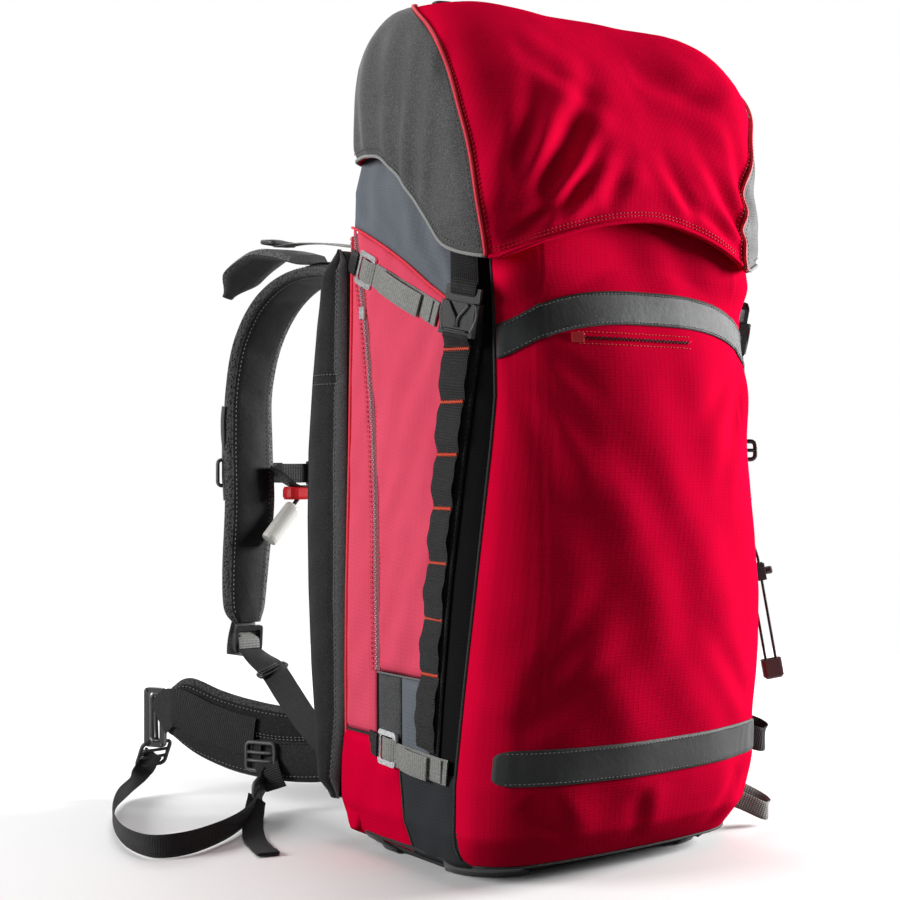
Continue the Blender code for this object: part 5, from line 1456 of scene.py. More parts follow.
# ------------------------------------------------------------------ back pad with moulded channels
PAD_HALF = 0.088


def pad_thick(z):
    return 0.021 + 0.010 * math.exp(-((z - 0.085) / 0.045) ** 2)


R_, C_ = 110, 44
G, H = [], []
for i in range(R_ + 1):
    z = 0.0505 + (0.4875 - 0.0505) * i / R_
    g, h = [], []
    for j in range(C_ + 1):
        x = -PAD_HALF + 2 * PAD_HALF * j / C_
        e = min(PAD_HALF - abs(x), z - 0.0505, 0.4875 - z)
        t = pad_thick(z) * (0.16 + 0.84 * sstep(e, -0.001, 0.014))
        ch = 0.0075 * math.exp(-(x / 0.0105) ** 2)
        for zc in (0.152, 0.222, 0.292, 0.362, 0.430):
            ch += 0.0050 * math.exp(-((z - zc - 0.10 * abs(x)) / 0.0048) ** 2) * sstep(abs(x), 0.006, 0.018)
        ch += 0.0030 * math.exp(-((abs(x) - 0.066) / 0.004) ** 2)
        t -= ch * sstep(e, 0.004, 0.018)
        g.append(Vector((x, back_y(z) + 0.0006 + max(t, 0.002), z)))
        h.append(Vector((x, back_y(z) + 0.0005, z)))
    G.append(g)
    H.append(h)
pad = closed("back_pad_foam", G, H, [MESH, SOFT], "pack", ["back_pad"], "black_mesh", fmat=lambda i, j, b: 1 if (j < 6 or j >= 38) else 0, sharp=60)


def pad_pin(c):
    e = min(PAD_HALF - abs(c.x), c.z - 0.0505, 0.4875 - c.z)
    v = 1 - sstep(e, 0.001, 0.008)
    if c.y < back_y(c.z) + 0.001:
        v = 1.0
    v = max(v, math.exp(-(c.x / 0.007) ** 2), math.exp(-((abs(c.x) - 0.066) / 0.003) ** 2))
    for zc in (0.152, 0.222, 0.292, 0.362, 0.430):
        v = max(v, math.exp(-((c.z - zc - 0.10 * abs(c.x)) / 0.004) ** 2) * sstep(abs(c.x), 0.004, 0.012))
    return v


swell(pad, pad_pin, cap=0.0025, pressure=4.0)

# ------------------------------------------------------------------ padded straps
def pad_strap(name, path, side, wides, thicks, mats, body, replaces=(), slot="black_mesh", fmat=None, K=14, shape=None):
    pts = [Vector(p) for p in path]
    n = len(pts)
    sides = side if isinstance(side, list) else [Vector(side)] * n
    verts, uvs, faces, fm = [], [], [], []
    along = 0.0
    for i, p in enumerate(pts):
        if i:
            along += (p - pts[i - 1]).length
        t = (pts[min(i + 1, n - 1)] - pts[max(i - 1, 0)]).normalized()
        s = (sides[i] - t * sides[i].dot(t)).normalized()
        up = t.cross(s)
        w, h = wides[i], thicks[i] / 2
        ring = [(-1 + 2 * k / K, 1) for k in range(K + 1)] + [(1 - 2 * k / K, -1) for k in range(1, K)]
        for q, sg in ring:
            qq = math.copysign(abs(q) ** 0.92, q)
            hh = h * max(0.10, (1 - abs(q) ** 3.2)) ** 0.55
            if shape:
                hh -= shape(q, i / (n - 1), sg)
            verts.append(p + s * (qq * (w[1] if q > 0 else w[0])) + up * (sg * hh))
            uvs.append((q * (w[1] if q > 0 else w[0]) + (0.2 if sg < 0 else 0), along))
    m = 2 * K
    for i in range(n - 1):
        for k in range(m):
            a, b = i * m + k, i * m + (k + 1) % m
            faces.append((a, b, b + m, a + m))
            q = -1 + 2 * (k + 0.5) / K if k < K else 1 - 2 * (k - K + 0.5) / K
            fm.append(fmat(q, k < K, i / (n - 1)) if fmat else 0)
    faces += [tuple(reversed(range(m))), tuple(range((n - 1) * m, n * m))]
    fm += [0, 0]
    ob = mesh_object(name, verts, faces, mats, uvs, fm, sharp=70)
    register(ob, body, replaces, slot)
    return ob


SP = [(-0.068, 0.1450, 0.4830), (-0.074, 0.1750, 0.5000), (-0.080, 0.2150, 0.5100), (-0.087, 0.2620, 0.5060), (-0.092, 0.3050, 0.4850), (-0.096, 0.3350, 0.4480),
      (-0.098, 0.3500, 0.4000), (-0.098, 0.3530, 0.3450), (-0.098, 0.3510, 0.2900), (-0.100, 0.3520, 0.2350), (-0.102, 0.3530, 0.1850), (-0.102, 0.3490, 0.1660)]
S_IN = [0.024, 0.026, 0.028, 0.029, 0.029, 0.028, 0.027, 0.029, 0.030, 0.027, 0.024, 0.016]
S_OUT = [0.022, 0.025, 0.028, 0.029, 0.029, 0.029, 0.028, 0.028, 0.028, 0.028, 0.025, 0.016]
ns = 100
spath = smooth_path(SP, ns)
tt = [k / (ns - 1) * 11 for k in range(ns)]
idx = list(range(12))
wides = [(curve(t, idx, S_IN) - 0.0004, curve(t, idx, S_OUT) - 0.0004) for t in tt]
thicks = [curve(t, [0, 0.6, 10, 10.6, 11], [0.008, 0.013, 0.013, 0.010, 0.006]) for t in tt]


def strap_mat(q, top, t):
    if abs(q) > 0.72:
        return 1
    return 2 if top else 0


sh = pad_strap("shoulder_pad_left", spath, (-1, 0, 0), wides, thicks, [BLACK_FACE, MESH_GREY, SOFT], "harness_left", ["shoulder_strap_left"], fmat=strap_mat,
               shape=lambda q, t, sg: 0.0011 * math.exp(-((abs(q) - 0.70) / 0.07) ** 2))
rings = 28


def ring_index(v):
    return v // rings


def strap_q(i):
    k = i % rings
    return -1 + 2 * k / 14 if k <= 14 else 1 - 2 * (k - 14) / 14


qmap = {tuple(round(x, 6) for x in v.co): strap_q(v.index) for v in sh.data.vertices}


def strap_pin(c):
    q = abs(qmap.get(tuple(round(x, 6) for x in c), 1.0))
    return max(1 - sstep(1 - q, 0.02, 0.12), math.exp(-((q - 0.70) / 0.06) ** 2)) if c.y < 0.9 else 1.0


swell(sh, strap_pin, cap=0.0016, pressure=3.0)
twin_of("shoulder_pad_left")


def on_strap(t, q, sg=1, extra=0.0):
    """point on the shoulder pad: t along 0..1, q across -1..1, sg +1 outer face, -1 face to the wearer"""
    f = t * (ns - 1)
    i = min(int(f), ns - 2)
    g = f - i
    p = spath[i].lerp(spath[i + 1], g)
    d = (spath[i + 1] - spath[i]).normalized()
    s = Vector((-1, 0, 0))
    s = (s - d * s.dot(d)).normalized()
    up = d.cross(s)
    w = wides[i]
    h = thicks[i] / 2 * max(0.10, (1 - abs(q) ** 3.2)) ** 0.55
    return p + s * (q * (w[1] if q > 0 else w[0])) + up * (sg * (h + extra)), up * sg


for q, nm in ((-0.66, "inner"), (0.66, "outer")):
    for sg, fn in ((1, "face"), (-1, "lining")):
        pts_ = [on_strap(0.05 + 0.90 * k / 150, q, sg, 0.0006) for k in range(151)]
        lut = {}
        stitches("shoulder_stitch_%s_%s_left" % (nm, fn), [p for p, _ in pts_], lambda p, sg=sg: Vector((0, sg, 0.35 * sg if p.z > 0.45 else 0)), THREAD_GREY, body="harness_left", both=True, pitch=0.0046, length=0.0027, r=0.0004)
# webbing down the strap's outer face with daisy loops and bar tacks
strap("shoulder_face_webbing_left", [on_strap(0.16 + 0.80 * k / 70, 0.0, 1, 0.0014 + 0.0016 * abs(math.sin(math.pi * k / 7)))[0] for k in range(71)], (-1, 0, 0), 0.0100, 0.0014, WEB_BLACK, "harness_left", slot="black_webbing", both=True)
bartack("shoulder_bartacks_left", [on_strap(0.16 + 0.80 * k / 10, 0.0, 1, 0.0022)[0] for k in range(1, 10)], lambda c: Vector((0, 0.2, -1)), lambda c: Vector((-1, 0, 0)), lambda c: Vector((0, 1, 0.1)), THREAD_RED, "harness_left", both=True, length=0.018, wide=0.0018)

# padded tongue on top of the shoulder and its ladder lock
tp = smooth_path([(-0.117, 0.3640, 0.4960), (-0.113, 0.3450, 0.5130), (-0.108, 0.3200, 0.5260), (-0.103, 0.2950, 0.5330), (-0.100, 0.2650, 0.5300), (-0.098, 0.2350, 0.5230)], 40)
tw = [(w, w) for w in [0.006 + 0.016 * sstep(k / 39, 0.0, 0.25) for k in range(40)]]
tg = pad_strap("shoulder_tongue_left", tp, (-1, 0.25, 0), tw, [0.004 + 0.006 * sstep(k / 39, 0, 0.2) for k in range(40)], [SOFT_GREY, MESH_GREY], "harness_left", fmat=lambda q, top, t: 1 if abs(q) > 0.80 else 0, K=12)
mirror(tg)
stitches("tongue_stitch_left", [p + Vector((-0.0175 * min(1, k / 8), 0, 0.0042)) for k, p in enumerate(tp[3:-2])], (0, 0, 1), THREAD_GREY, body="harness_left", both=True)
ladder_lock("lifter_lock_left", (-0.1010, 0.2880, 0.5440), (-1, 0, 0.05), (0, 1, 0.10), (0, -0.1, 1), (0.027, 0.022), PLASTIC_GREY, "harness_left", both=True, thick=0.0048)


# ------------------------------------------------------------------ webbing
def densify(route, n):
    return smooth_path(route, n)


lift = densify([(-0.101, 0.2800, 0.5400), (-0.107, 0.2350, 0.5375), (-0.115, 0.1800, 0.5310), (-0.123, 0.1350, 0.5240), (-0.127, 0.1060, 0.5190), (-0.128, 0.0850, 0.5170)], 40)
ll = strap("load_lifter_webbing_left", lift, (1, 0, 0.05), 0.0100, 0.0015, WEB_GREY, None, ["load_lifter_left"], "grey_webbing")
lr = mirror(ll)
tail = densify([(-0.101, 0.2930, 0.5455), (-0.108, 0.3130, 0.5400), (-0.116, 0.3300, 0.5260), (-0.121, 0.3390, 0.5080), (-0.1235, 0.3420, 0.4930)], 24)
low = densify([(-0.1020, 0.3430, 0.1390), (-0.1070, 0.3150, 0.1330), (-0.1170, 0.2700, 0.1270), (-0.1270, 0.2250, 0.1120), (-0.1350, 0.1800, 0.0950), (-0.1380, 0.1420, 0.0800)], 40)
ws = [Vector((1, 0, 0)) * (1 - k / 39) + Vector((0.25, 0.3, 1.0)) * (k / 39) for k in range(40)]
sl = strap("shoulder_lower_webbing_left", low, ws, WEB / 2, 0.0015, WEB_BLACK, None, ["shoulder_webbing_left"], "black_webbing")
sr = mirror(sl)
# webbing through the adjuster and its free light-grey tail, folded flat under the strap end
strap("adjuster_webbing_left", densify([(-0.1020, 0.3520, 0.1780), (-0.1020, 0.3540, 0.1650), (-0.1020, 0.3500, 0.1560), (-0.1020, 0.3455, 0.1480), (-0.1020, 0.3445, 0.1405)], 20), (1, 0, 0), WEB / 2 - 0.0008, 0.0014, WEB_GREY, "adjuster_left", slot="grey_webbing", both=True)
strap("adjuster_tail_left", densify([(-0.1060, 0.3575, 0.1700), (-0.1075, 0.3610, 0.1560), (-0.1100, 0.3600, 0.1430), (-0.1120, 0.3570, 0.1330)], 18), (1, 0.1, 0.1), 0.0095, 0.0018, WEB_GREY, "adjuster_left", slot="grey_webbing", both=True)
ladder_lock("adjuster_bars_left", (-0.102, 0.3487, 0.1500), (1, 0, 0), (0, -0.08, 1), (0, 1, 0.08), (0.024, 0.017), PLASTIC, "adjuster_left", both=True, thick=0.0034)
ladder_lock("webbing_keeper_left", (-0.1168, 0.2715, 0.1275), (1, 0.1, 0.3), (0, 1, 0.15), (0.2, -0.3, 1), (0.031, 0.012), PLASTIC, "pack", both=True, bars=1, thick=0.0044)

# chest strap: webbing, its stitched tab on the pad, and the sliding toggle
CHEST_Z, cy = 0.318, 0.3625
left = densify([(-0.118, cy, CHEST_Z), (-0.085, cy, CHEST_Z), (-0.050, cy + 0.003, CHEST_Z - 0.001), (-0.0205, cy + 0.004, CHEST_Z - 0.001)], 34)
strap("chest_webbing_left", left, (0, 0, 1), 0.0100, 0.0015, WEB_BLACK, "chest_left", ["chest_strap_left"], "black_webbing", both=True)
tabw = [0.0165 - 0.0065 * sstep(k / 19, 0.0, 0.75) for k in range(20)]
strap("chest_tab_left", [(-0.0985 + 0.045 * k / 19, cy - 0.0020 + 0.0022 * k / 19, CHEST_Z) for k in range(20)], (0, 0, 1), tabw, 0.0018, SOFT, "chest_left", slot="black_softshell", both=True)
stitches("chest_tab_stitch_left", [(-0.0970 + 0.040 * k / 19, cy - 0.0032 + 0.0022 * k / 19, CHEST_Z + tabw[k] - 0.0022) for k in range(20)], (0, -1, 0), THREAD_GREY, body="chest_left", both=True)
rod("chest_slide_rail_left", densify([(-0.1215, 0.3600, 0.290), (-0.1225, 0.3612, 0.320), (-0.1225, 0.3610, 0.352), (-0.1215, 0.3590, 0.380)], 24), 0.0019, PLASTIC_GREY, "harness_left", seg=8, both=True)
ladder_lock("chest_toggle_left", (-0.1215, 0.3625, CHEST_Z), (0, 0, 1), (-1, 0, 0), (0, 1, 0), (0.026, 0.014), PLASTIC_GREY, "chest_left", both=True, bars=1, thick=0.0042)
strap("chest_slide_tab_left", densify([(-0.1250, 0.3560, 0.385), (-0.1255, 0.3575, 0.371), (-0.1250, 0.3575, 0.352), (-0.1240, 0.3560, 0.336)], 16), (0.2, 1, 0), [0.0052 - 0.0034 * sstep(k / 15, 0.6, 1.0) for k in range(16)], 0.0022, SOFT_GREY, "harness_left", slot="black_softshell", both=True)

# grab loop
gy = back_y(0.495) + 0.0105
gl = densify([(-0.030, gy, 0.4945), (-0.030, gy + 0.001, 0.512), (-0.022, gy + 0.003, 0.530), (0.0, gy + 0.004, 0.538), (0.022, gy + 0.003, 0.530), (0.030, gy + 0.001, 0.512), (0.030, gy, 0.4945)], 60)
strap("grab_loop_webbing", gl, (0, 1, 0), 0.0086, 0.0024, WEB_BLACK, "carry_loop", ["grab_loop"], "black_webbing")
bartack("grab_loop_tacks", [Vector((sx * 0.0315, gy + 0.0005, 0.500)) for sx in (-1, 1)], lambda c: Vector((0, 0, 1)), lambda c: Vector((0, 1, 0)), lambda c: Vector((c.x, 0, 0)), THREAD_RED, "carry_loop", length=0.0150, wide=0.0020)

# ------------------------------------------------------------------ daisy chains: webbing that bellies between bar tacks
TACKS = [0.418, 0.377, 0.336, 0.294, 0.251, 0.207, 0.163, 0.1045]


def daisy_frame(z, off):
    y = daisy_y(z)
    x = bag_side_x(y, z)
    dx = (bag_side_x(y + 0.004, z) - bag_side_x(y - 0.004, z)) / 0.008
    return Vector((-x, y, z)) + Vector((-1.0, -dx, 0)).normalized() * off, Vector((-dx, 1.0, 0)).normalized(), Vector((-1.0, -dx, 0)).normalized()


path, sides, halfs = [], [], []
nd = 190
for k in range(nd):
    z = 0.1030 + (0.4300 - 0.1030) * k / (nd - 1)
    lo = max([t for t in TACKS if t <= z] + [0.040])
    hi = min([t for t in TACKS if t >= z] + [0.455])
    f = (z - lo) / max(hi - lo, 1e-6)
    p, s, n = daisy_frame(z, 0.0032 + 0.0036 * math.sin(math.pi * min(max(f, 0), 1)) ** 0.8 + 0.0006 * math.sin(z * 310))
    path.append(p)
    sides.append(s)
    halfs.append(WEB / 2 * (0.955 + 0.060 * math.sin(math.pi * min(max(f, 0), 1))))
strap("daisy_webbing_left", path, sides, halfs, 0.0016, WEB_BLACK, "pack", ["daisy_chain_left"], "black_webbing", both=True)
bartack("daisy_bartacks_left", [daisy_frame(z, 0.0042)[0] for z in TACKS[:7]], lambda c: Vector((0, 0.06, 1)), lambda c: daisy_frame(c.z, 0)[1], lambda c: daisy_frame(c.z, 0)[2], THREAD_RED, "pack", both=True, length=0.0232, wide=0.0032)
G = []
for i in range(91):
    z = 0.090 + (0.446 - 0.090) * i / 90
    row = []
    for j in range(9):
        y = daisy_y(z) + (-0.0158 + 0.0300 * j / 8)
        row.append(Vector((-(bag_side_x(y, z) + 0.0024), y, z)))
    G.append(row)
shell("daisy_backing_left", G, 0.0014, SOFT, slot="black_softshell", both=True)
for q, nm in ((-0.0150, "front"), (0.0134, "rear")):
    stitches("daisy_stitch_%s_left" % nm, [Vector((-(bag_side_x(daisy_y(z) + q, z) + 0.0030), daisy_y(z) + q, z)) for z in [0.106 + 0.336 * k / 90 for k in range(91)]], lambda p: daisy_frame(p.z, 0)[2], THREAD_DARK, both=True)

# compression straps: light webbing, doubled tail and stitched ends
for tag, y0, z0, y1, z1 in (("upper", 0.0345, 0.4855, -0.0560, 0.4460), ("lower", -0.0064, 0.0927, -0.0745, 0.0892)):
    path = []
    for k in range(40):
        y, z = y0 + (y1 - y0) * k / 39, z0 + (z1 - z0) * k / 39
        path.append(Vector((-(bag_side_x(y, z) + 0.0052), y, z)))
    strap("compression_webbing_%s_left" % tag, path, (0, 0.4, 1), 0.0100, 0.0015, WEB_GREY, "pack", ["compression_strap_%s_left" % tag], "grey_webbing", both=True)
    d = Vector((0, y1 - y0, z1 - z0)).normalized()
    up = Vector((0, -d.z, d.y))
    if up.z < 0:
        up = -up
    c = Vector((-(bag_side_x(y0 + 0.014, z0) + 0.0040), y0 + 0.0145, z0 + 0.0058 if tag == "upper" else z0 + 0.0035))
    body = "lock_%s_left" % tag
    cb = [c + d * 0.0125 * q for q in (0.0,)]
    strap("compression_fold_%s_left" % tag, [c + d * (0.0135 - 0.020 * k / 11) + Vector((-0.0006 - 0.0026 * math.sin(math.pi * k / 11), 0, 0)) for k in range(12)], up, 0.0092, 0.0014, WEB_GREY, body, slot="grey_webbing", both=True)
    anchor = c - d * 0.012
    strap("compression_anchor_%s_left" % tag, [anchor + Vector((-0.0030 + 0.0046 * k / 9, 0, 0)) - d * (0.018 * k / 9) for k in range(10)], up, 0.0096, 0.0014, WEB_BLACK, "pack", slot="black_webbing", both=True)
    bartack("compression_tack_%s_left" % tag, [path[36] + Vector((-0.0012, 0, 0))], lambda c_, d=d: d, lambda c_, up=up: up, lambda c_: Vector((-1, 0, 0)), THREAD_GREY, "pack", both=True, length=0.018, wide=0.0022)
    tail0 = path[6] + Vector((-0.0022, 0, 0))
    strap("compression_tail_%s_left" % tag, [tail0 + d * (0.060 * k / 15 if tag == "upper" else 0.036 * k / 15) + Vector((-0.0010 - 0.0016 * math.sin(math.pi * k / 15), 0, -0.0010 * k / 15)) for k in range(16)], up, 0.0096, 0.0015, WEB_GREY, "pack", slot="grey_webbing", both=True)

# ------------------------------------------------------------------ lid straps above their buckles
M_AXIS = Vector((0.0, -0.235, 0.972)).normalized()
N_AXIS = Vector((-0.88, -0.457, 0.0))
N_AXIS = (N_AXIS - M_AXIS * N_AXIS.dot(M_AXIS)).normalized()
W_AXIS = N_AXIS.cross(M_AXIS).normalized()
FC = Vector((-bag_side_x(-0.0800, 0.442), -0.0800, 0.442)) + N_AXIS * 0.0092
F_H = 0.0130
s0 = FC + M_AXIS * (F_H + 0.0100)


def bag_tangent(y, z):
    dx = (bag_side_x(y + 0.004, z) - bag_side_x(y - 0.004, z)) / 0.008
    return Vector((-dx, 1.0, 0)).normalized()


s1 = Vector((-(bag_side_x(-0.080, 0.486) + 0.0048), -0.0800, 0.486))
s2 = Vector((-(bag_side_x(-0.076, 0.520) + 0.0040), -0.0760, 0.520))
w0 = W_AXIS if W_AXIS.y > 0 else -W_AXIS
w1, w2 = bag_tangent(-0.080, 0.486), bag_tangent(-0.076, 0.520)
pth = smooth_path([s0, s1, s2], 30)
sd = [w0.lerp(w1, min(1, k / 15)) if k < 16 else w1.lerp(w2, (k - 15) / 14) for k in range(30)]
strap("lid_strap_webbing_left", pth, sd, 0.0112, 0.0015, WEB_BLACK, "lid", ["hood_strap_left"], "black_webbing", both=True)
strap("lid_strap_fold_left", [s0 - M_AXIS * 0.0045 + M_AXIS * (0.012 * k / 11) + N_AXIS * (0.0010 + 0.0024 * math.sin(math.pi * (k + 1) / 12)) for k in range(12)], W_AXIS, 0.0108, 0.0014, WEB_BLACK, "lid", slot="black_webbing", both=True)
b0 = FC - M_AXIS * (F_H - 0.002)
strap("lid_buckle_tab_left", smooth_path([b0 + N_AXIS * 0.0058, b0 - M_AXIS * 0.0040 + N_AXIS * 0.0052, b0 - M_AXIS * 0.0105 + N_AXIS * 0.0000 - N_AXIS * 0.0030], 14), W_AXIS, 0.0110, 0.0014, WEB_BLACK, "pack", slot="black_webbing", both=True)
rw = FC + N_AXIS * 0.0064
rod("lid_buckle_rib_left", [rw + W_AXIS * (-0.0105 + 0.021 * k / 8) - M_AXIS * 0.0088 for k in range(9)], 0.0011, PLASTIC, "pack", seg=8, both=True)
for sg in (-1, 1):
    rod("lid_buckle_fork_%s_left" % ("front" if sg < 0 else "rear"), smooth_path([rw + M_AXIS * 0.0125 + W_AXIS * (0.0088 * sg), rw + M_AXIS * 0.0070 + W_AXIS * (0.0052 * sg) + N_AXIS * 0.0004, rw + M_AXIS * 0.0010 + W_AXIS * (0.0012 * sg) + N_AXIS * 0.0004, rw - M_AXIS * 0.0062 + W_AXIS * (0.0009 * sg)], 14), 0.0013, PLASTIC, "pack", seg=8, both=True)
    rod("lid_buckle_side_%s_left" % ("front" if sg < 0 else "rear"), smooth_path([rw + M_AXIS * 0.0120 + W_AXIS * (0.0142 * sg) - N_AXIS * 0.0012, rw + M_AXIS * 0.0045 + W_AXIS * (0.0156 * sg) - N_AXIS * 0.0016, rw - M_AXIS * 0.0040 + W_AXIS * (0.0140 * sg) - N_AXIS * 0.0012, rw - M_AXIS * 0.0100 + W_AXIS * (0.0118 * sg) - N_AXIS * 0.0008], 14), 0.0011, PLASTIC_GREY, "pack", seg=8, both=True)

# ------------------------------------------------------------------ hip belt
HP = [(-0.0950, 0.1640, 0.0700), (-0.1060, 0.1830, 0.0665), (-0.1200, 0.2070, 0.0645), (-0.1360, 0.2350, 0.0650), (-0.1520, 0.2640, 0.0680), (-0.1690, 0.2950, 0.0750), (-0.1830, 0.3200, 0.0840), (-0.1930, 0.3380, 0.0860)]
H_UP = [0.030, 0.032, 0.034, 0.035, 0.036, 0.036, 0.036, 0.024]
H_DN = [0.030, 0.033, 0.035, 0.036, 0.036, 0.034, 0.030, 0.022]
nh = 64
hpath = smooth_path(HP, nh)
ht = [k / (nh - 1) * 7 for k in range(nh)]
hid = list(range(8))
hw_ = [(curve(t, hid, H_DN), curve(t, hid, H_UP)) for t in ht]
hth = [curve(t, [0, 0.5, 6.5, 7], [0.008, 0.0125, 0.0125, 0.007]) for t in ht]


def wing_seam(t):
    return 0.30 - 0.22 * math.sin(math.pi * min(1, t * 1.1))


def wing_mat(q, top, t):
    if q > 0.86:
        return 1
    if top:
        return 3
    return 0 if q > wing_seam(t) else 2


wing = pad_strap("hip_wing_pad_left", hpath, (0, 0, 1), hw_, hth, [SOFT, MESH_DARK, WING_CLOTH, MESH], "hip_left", ["hip_wing_left"], fmat=wing_mat, K=24,
                 shape=lambda q, t, sg: (0.0016 * math.exp(-((q - wing_seam(t)) / 0.05) ** 2) if sg < 0 else 0) + 0.0008 * math.exp(-((abs(q) - 0.85) / 0.05) ** 2))
wmap = {}
for v in wing.data.vertices:
    k = v.index % 48
    q = -1 + 2 * k / 24 if k <= 24 else 1 - 2 * (k - 24) / 24
    wmap[tuple(round(x, 6) for x in v.co)] = (q, (v.index // 48) / (nh - 1), k <= 24)


def wing_pin(c):
    q, t, top = wmap.get(tuple(round(x, 6) for x in c), (1, 0, True))
    e = 1 - abs(q)
    return max(1 - sstep(e, 0.02, 0.12), math.exp(-((q - wing_seam(t)) / 0.05) ** 2) if not top else math.exp(-((q * 3 - round(q * 3)) / 0.10) ** 2) * 0.9, 1 - sstep(min(t, 1 - t), 0.0, 0.03))


swell(wing, wing_pin, cap=0.0024, pressure=3.5)
twin_of("hip_wing_pad_left")


def on_wing(t, q, sg=-1, extra=0.0):
    f = t * (nh - 1)
    i = min(int(f), nh - 2)
    p = hpath[i].lerp(hpath[i + 1], f - i)
    d = (hpath[i + 1] - hpath[i]).normalized()
    s = Vector((0, 0, 1))
    s = (s - d * s.dot(d)).normalized()
    up = d.cross(s)
    w = hw_[i]
    h = hth[i] / 2 * max(0.10, (1 - abs(q) ** 3.2)) ** 0.55
    return p + s * (q * (w[1] if q > 0 else w[0])) + up * (sg * (h + extra))


wn = Vector((-0.86, -0.5, 0))
for k, (qa, mt) in enumerate(((0.06, THREAD_GREY), (0.13, THREAD_GREY), (-0.05, THREAD_DARK))):
    stitches("wing_seam_stitch_%d_left" % (k + 1), [on_wing(0.04 + 0.92 * i / 80, wing_seam(0.04 + 0.92 * i / 80) + qa, -1, 0.0012) for i in range(81)], wn, mt, body="hip_left", both=True, pitch=0.0042, length=0.0026, r=0.00042)
stitches("wing_top_stitch_left", [on_wing(0.04 + 0.92 * i / 80, 0.78, -1, 0.0012) for i in range(81)], wn, THREAD_GREY, body="hip_left", both=True)
stitches("wing_low_stitch_left", [on_wing(0.04 + 0.92 * i / 80, -0.82, -1, 0.0012) for i in range(81)], wn, THREAD_GREY, body="hip_left", both=True)
# wide webbing across the wing to the buckle, and its ladder lock
bw = [on_wing(0.50 + 0.49 * i / 30, 0.10 + 0.10 * i / 30, -1, 0.0030) for i in range(31)]
tipd = Vector((-0.52, 0.855, 0)).normalized()
fcx = Vector((-0.1990, 0.3490, 0.0790)) + tipd * 0.0050
bw += [bw[-1].lerp(fcx - tipd * 0.0075 + Vector((-0.004, 0.0, 0)), q) for q in (0.35, 0.7, 1.0)]
strap("wing_buckle_webbing_left", bw, (0, 0, 1), 0.0185, 0.0016, WEB_BLACK, "hip_left", slot="black_webbing", both=True)
ladder_lock("wing_side_lock_left", on_wing(0.46, -0.36, -1, 0.0044), tipd, (0, 0, 1), (-0.86, -0.5, 0), (0.030, 0.026), PLASTIC_GREY, "hip_left", both=True, thick=0.0044)
strap("wing_side_tab_left", [on_wing(0.46 + 0.055 * (k / 9), -0.36 - 0.02 * k / 9, -1, 0.0020 + 0.0016 * (1 - k / 9)) for k in range(10)] , (0, 0, 1), 0.0120, 0.0014, WEB_BLACK, "hip_left", slot="black_webbing", both=True)
strap("wing_lock_tail_left", smooth_path([on_wing(0.44, -0.40, -1, 0.0040), on_wing(0.42, -0.62, -1, 0.0070), on_wing(0.40, -0.90, -1, 0.0090), on_wing(0.385, -1.15, -1, 0.0080)], 16), tipd, 0.0120, 0.0015, WEB_BLACK, "hip_left", slot="black_webbing", both=True)

# hip buckle dressings
ladder_lock("hip_frame_bar_left", fcx - tipd * 0.0020, (0, 0, 1), tipd, (-0.855, -0.52, 0), (0.046, 0.010), PLASTIC, "hip_frame", bars=1, thick=0.0042)
for k, (dz, dt) in enumerate(((0.0262, -0.0088), (0.0262, 0.0088), (-0.0262, -0.0088), (-0.0262, 0.0088))):
    c = fcx + tipd * dt + Vector((0, 0, dz)) + Vector((-0.855, -0.52, 0)) * 0.0027
    nn = Vector((-0.855, -0.52, 0))
    rod("hip_frame_rivet_%d" % (k + 1), [c, c + nn * 0.0005, c + nn * 0.0009], lambda t: 0.0017 * (1 - 0.5 * t), PLASTIC_GREY, "hip_frame", seg=10)

# ------------------------------------------------------------------ free webbing: the leg strap
LEG = [(-0.2020, 0.3560, 0.0440), (-0.2100, 0.3630, 0.0270), (-0.2260, 0.3590, 0.0135), (-0.2520, 0.3280, 0.0112), (-0.2760, 0.2840, 0.0108), (-0.2980, 0.2300, 0.0108),
       (-0.3100, 0.1780, 0.0108), (-0.3050, 0.1400, 0.0108), (-0.2780, 0.1330, 0.0108), (-0.2420, 0.1480, 0.0108), (-0.2080, 0.1720, 0.0112), (-0.1780, 0.2020, 0.0125), (-0.1560, 0.2280, 0.0165)]
lpath = smooth_path(LEG, 110)


lsides = []
for k in range(110):
    w = 0.20 * math.sin(k / 109 * 9.0)
    lsides.append(Vector((w, -0.5 * w, 1)))
leg = strap("leg_strap_webbing", lpath, lsides, 0.0097, 0.0017, WEB_BLACK, None, ["leg_strap"], "black_webbing")
ladder_lock("leg_strap_lock_upper", (-0.2015, 0.3575, 0.0430), (0.4, -0.2, 0.05), (0.2, -0.3, 1), (-0.6, -0.8, 0), (0.027, 0.024), PLASTIC, "hip_left", thick=0.0042)
ladder_lock("leg_strap_lock_lower", (-0.1600, 0.2240, 0.0200), (0, 0, 1), (0.68, 0.72, 0.1), (-0.7, 0.66, 0), (0.027, 0.024), PLASTIC_GREY, "pack", thick=0.0044)
tabp = smooth_path([Vector((-0.1530, 0.2310, 0.0210)), Vector((-0.1450, 0.2330, 0.0300)), Vector((-0.1400, 0.2300, 0.0400))], 12)
strap("leg_strap_anchor", tabp, (0, -0.3, 1), 0.0100, 0.0015, WEB_BLACK, "pack", slot="black_webbing")
tpath = smooth_path([(-0.1640, 0.2170, 0.0190), (-0.1720, 0.2060, 0.0125), (-0.1830, 0.1900, 0.0060), (-0.1950, 0.1680, 0.0022), (-0.2080, 0.1400, 0.0016), (-0.2170, 0.1120, 0.0016), (-0.2230, 0.0900, 0.0016)], 44)
tside = [Vector((-0.5, 0.5, 0.9)).lerp(Vector((1, -0.25, 0)), sstep(k / 43, 0.0, 0.45)) * 1.0 for k in range(44)]
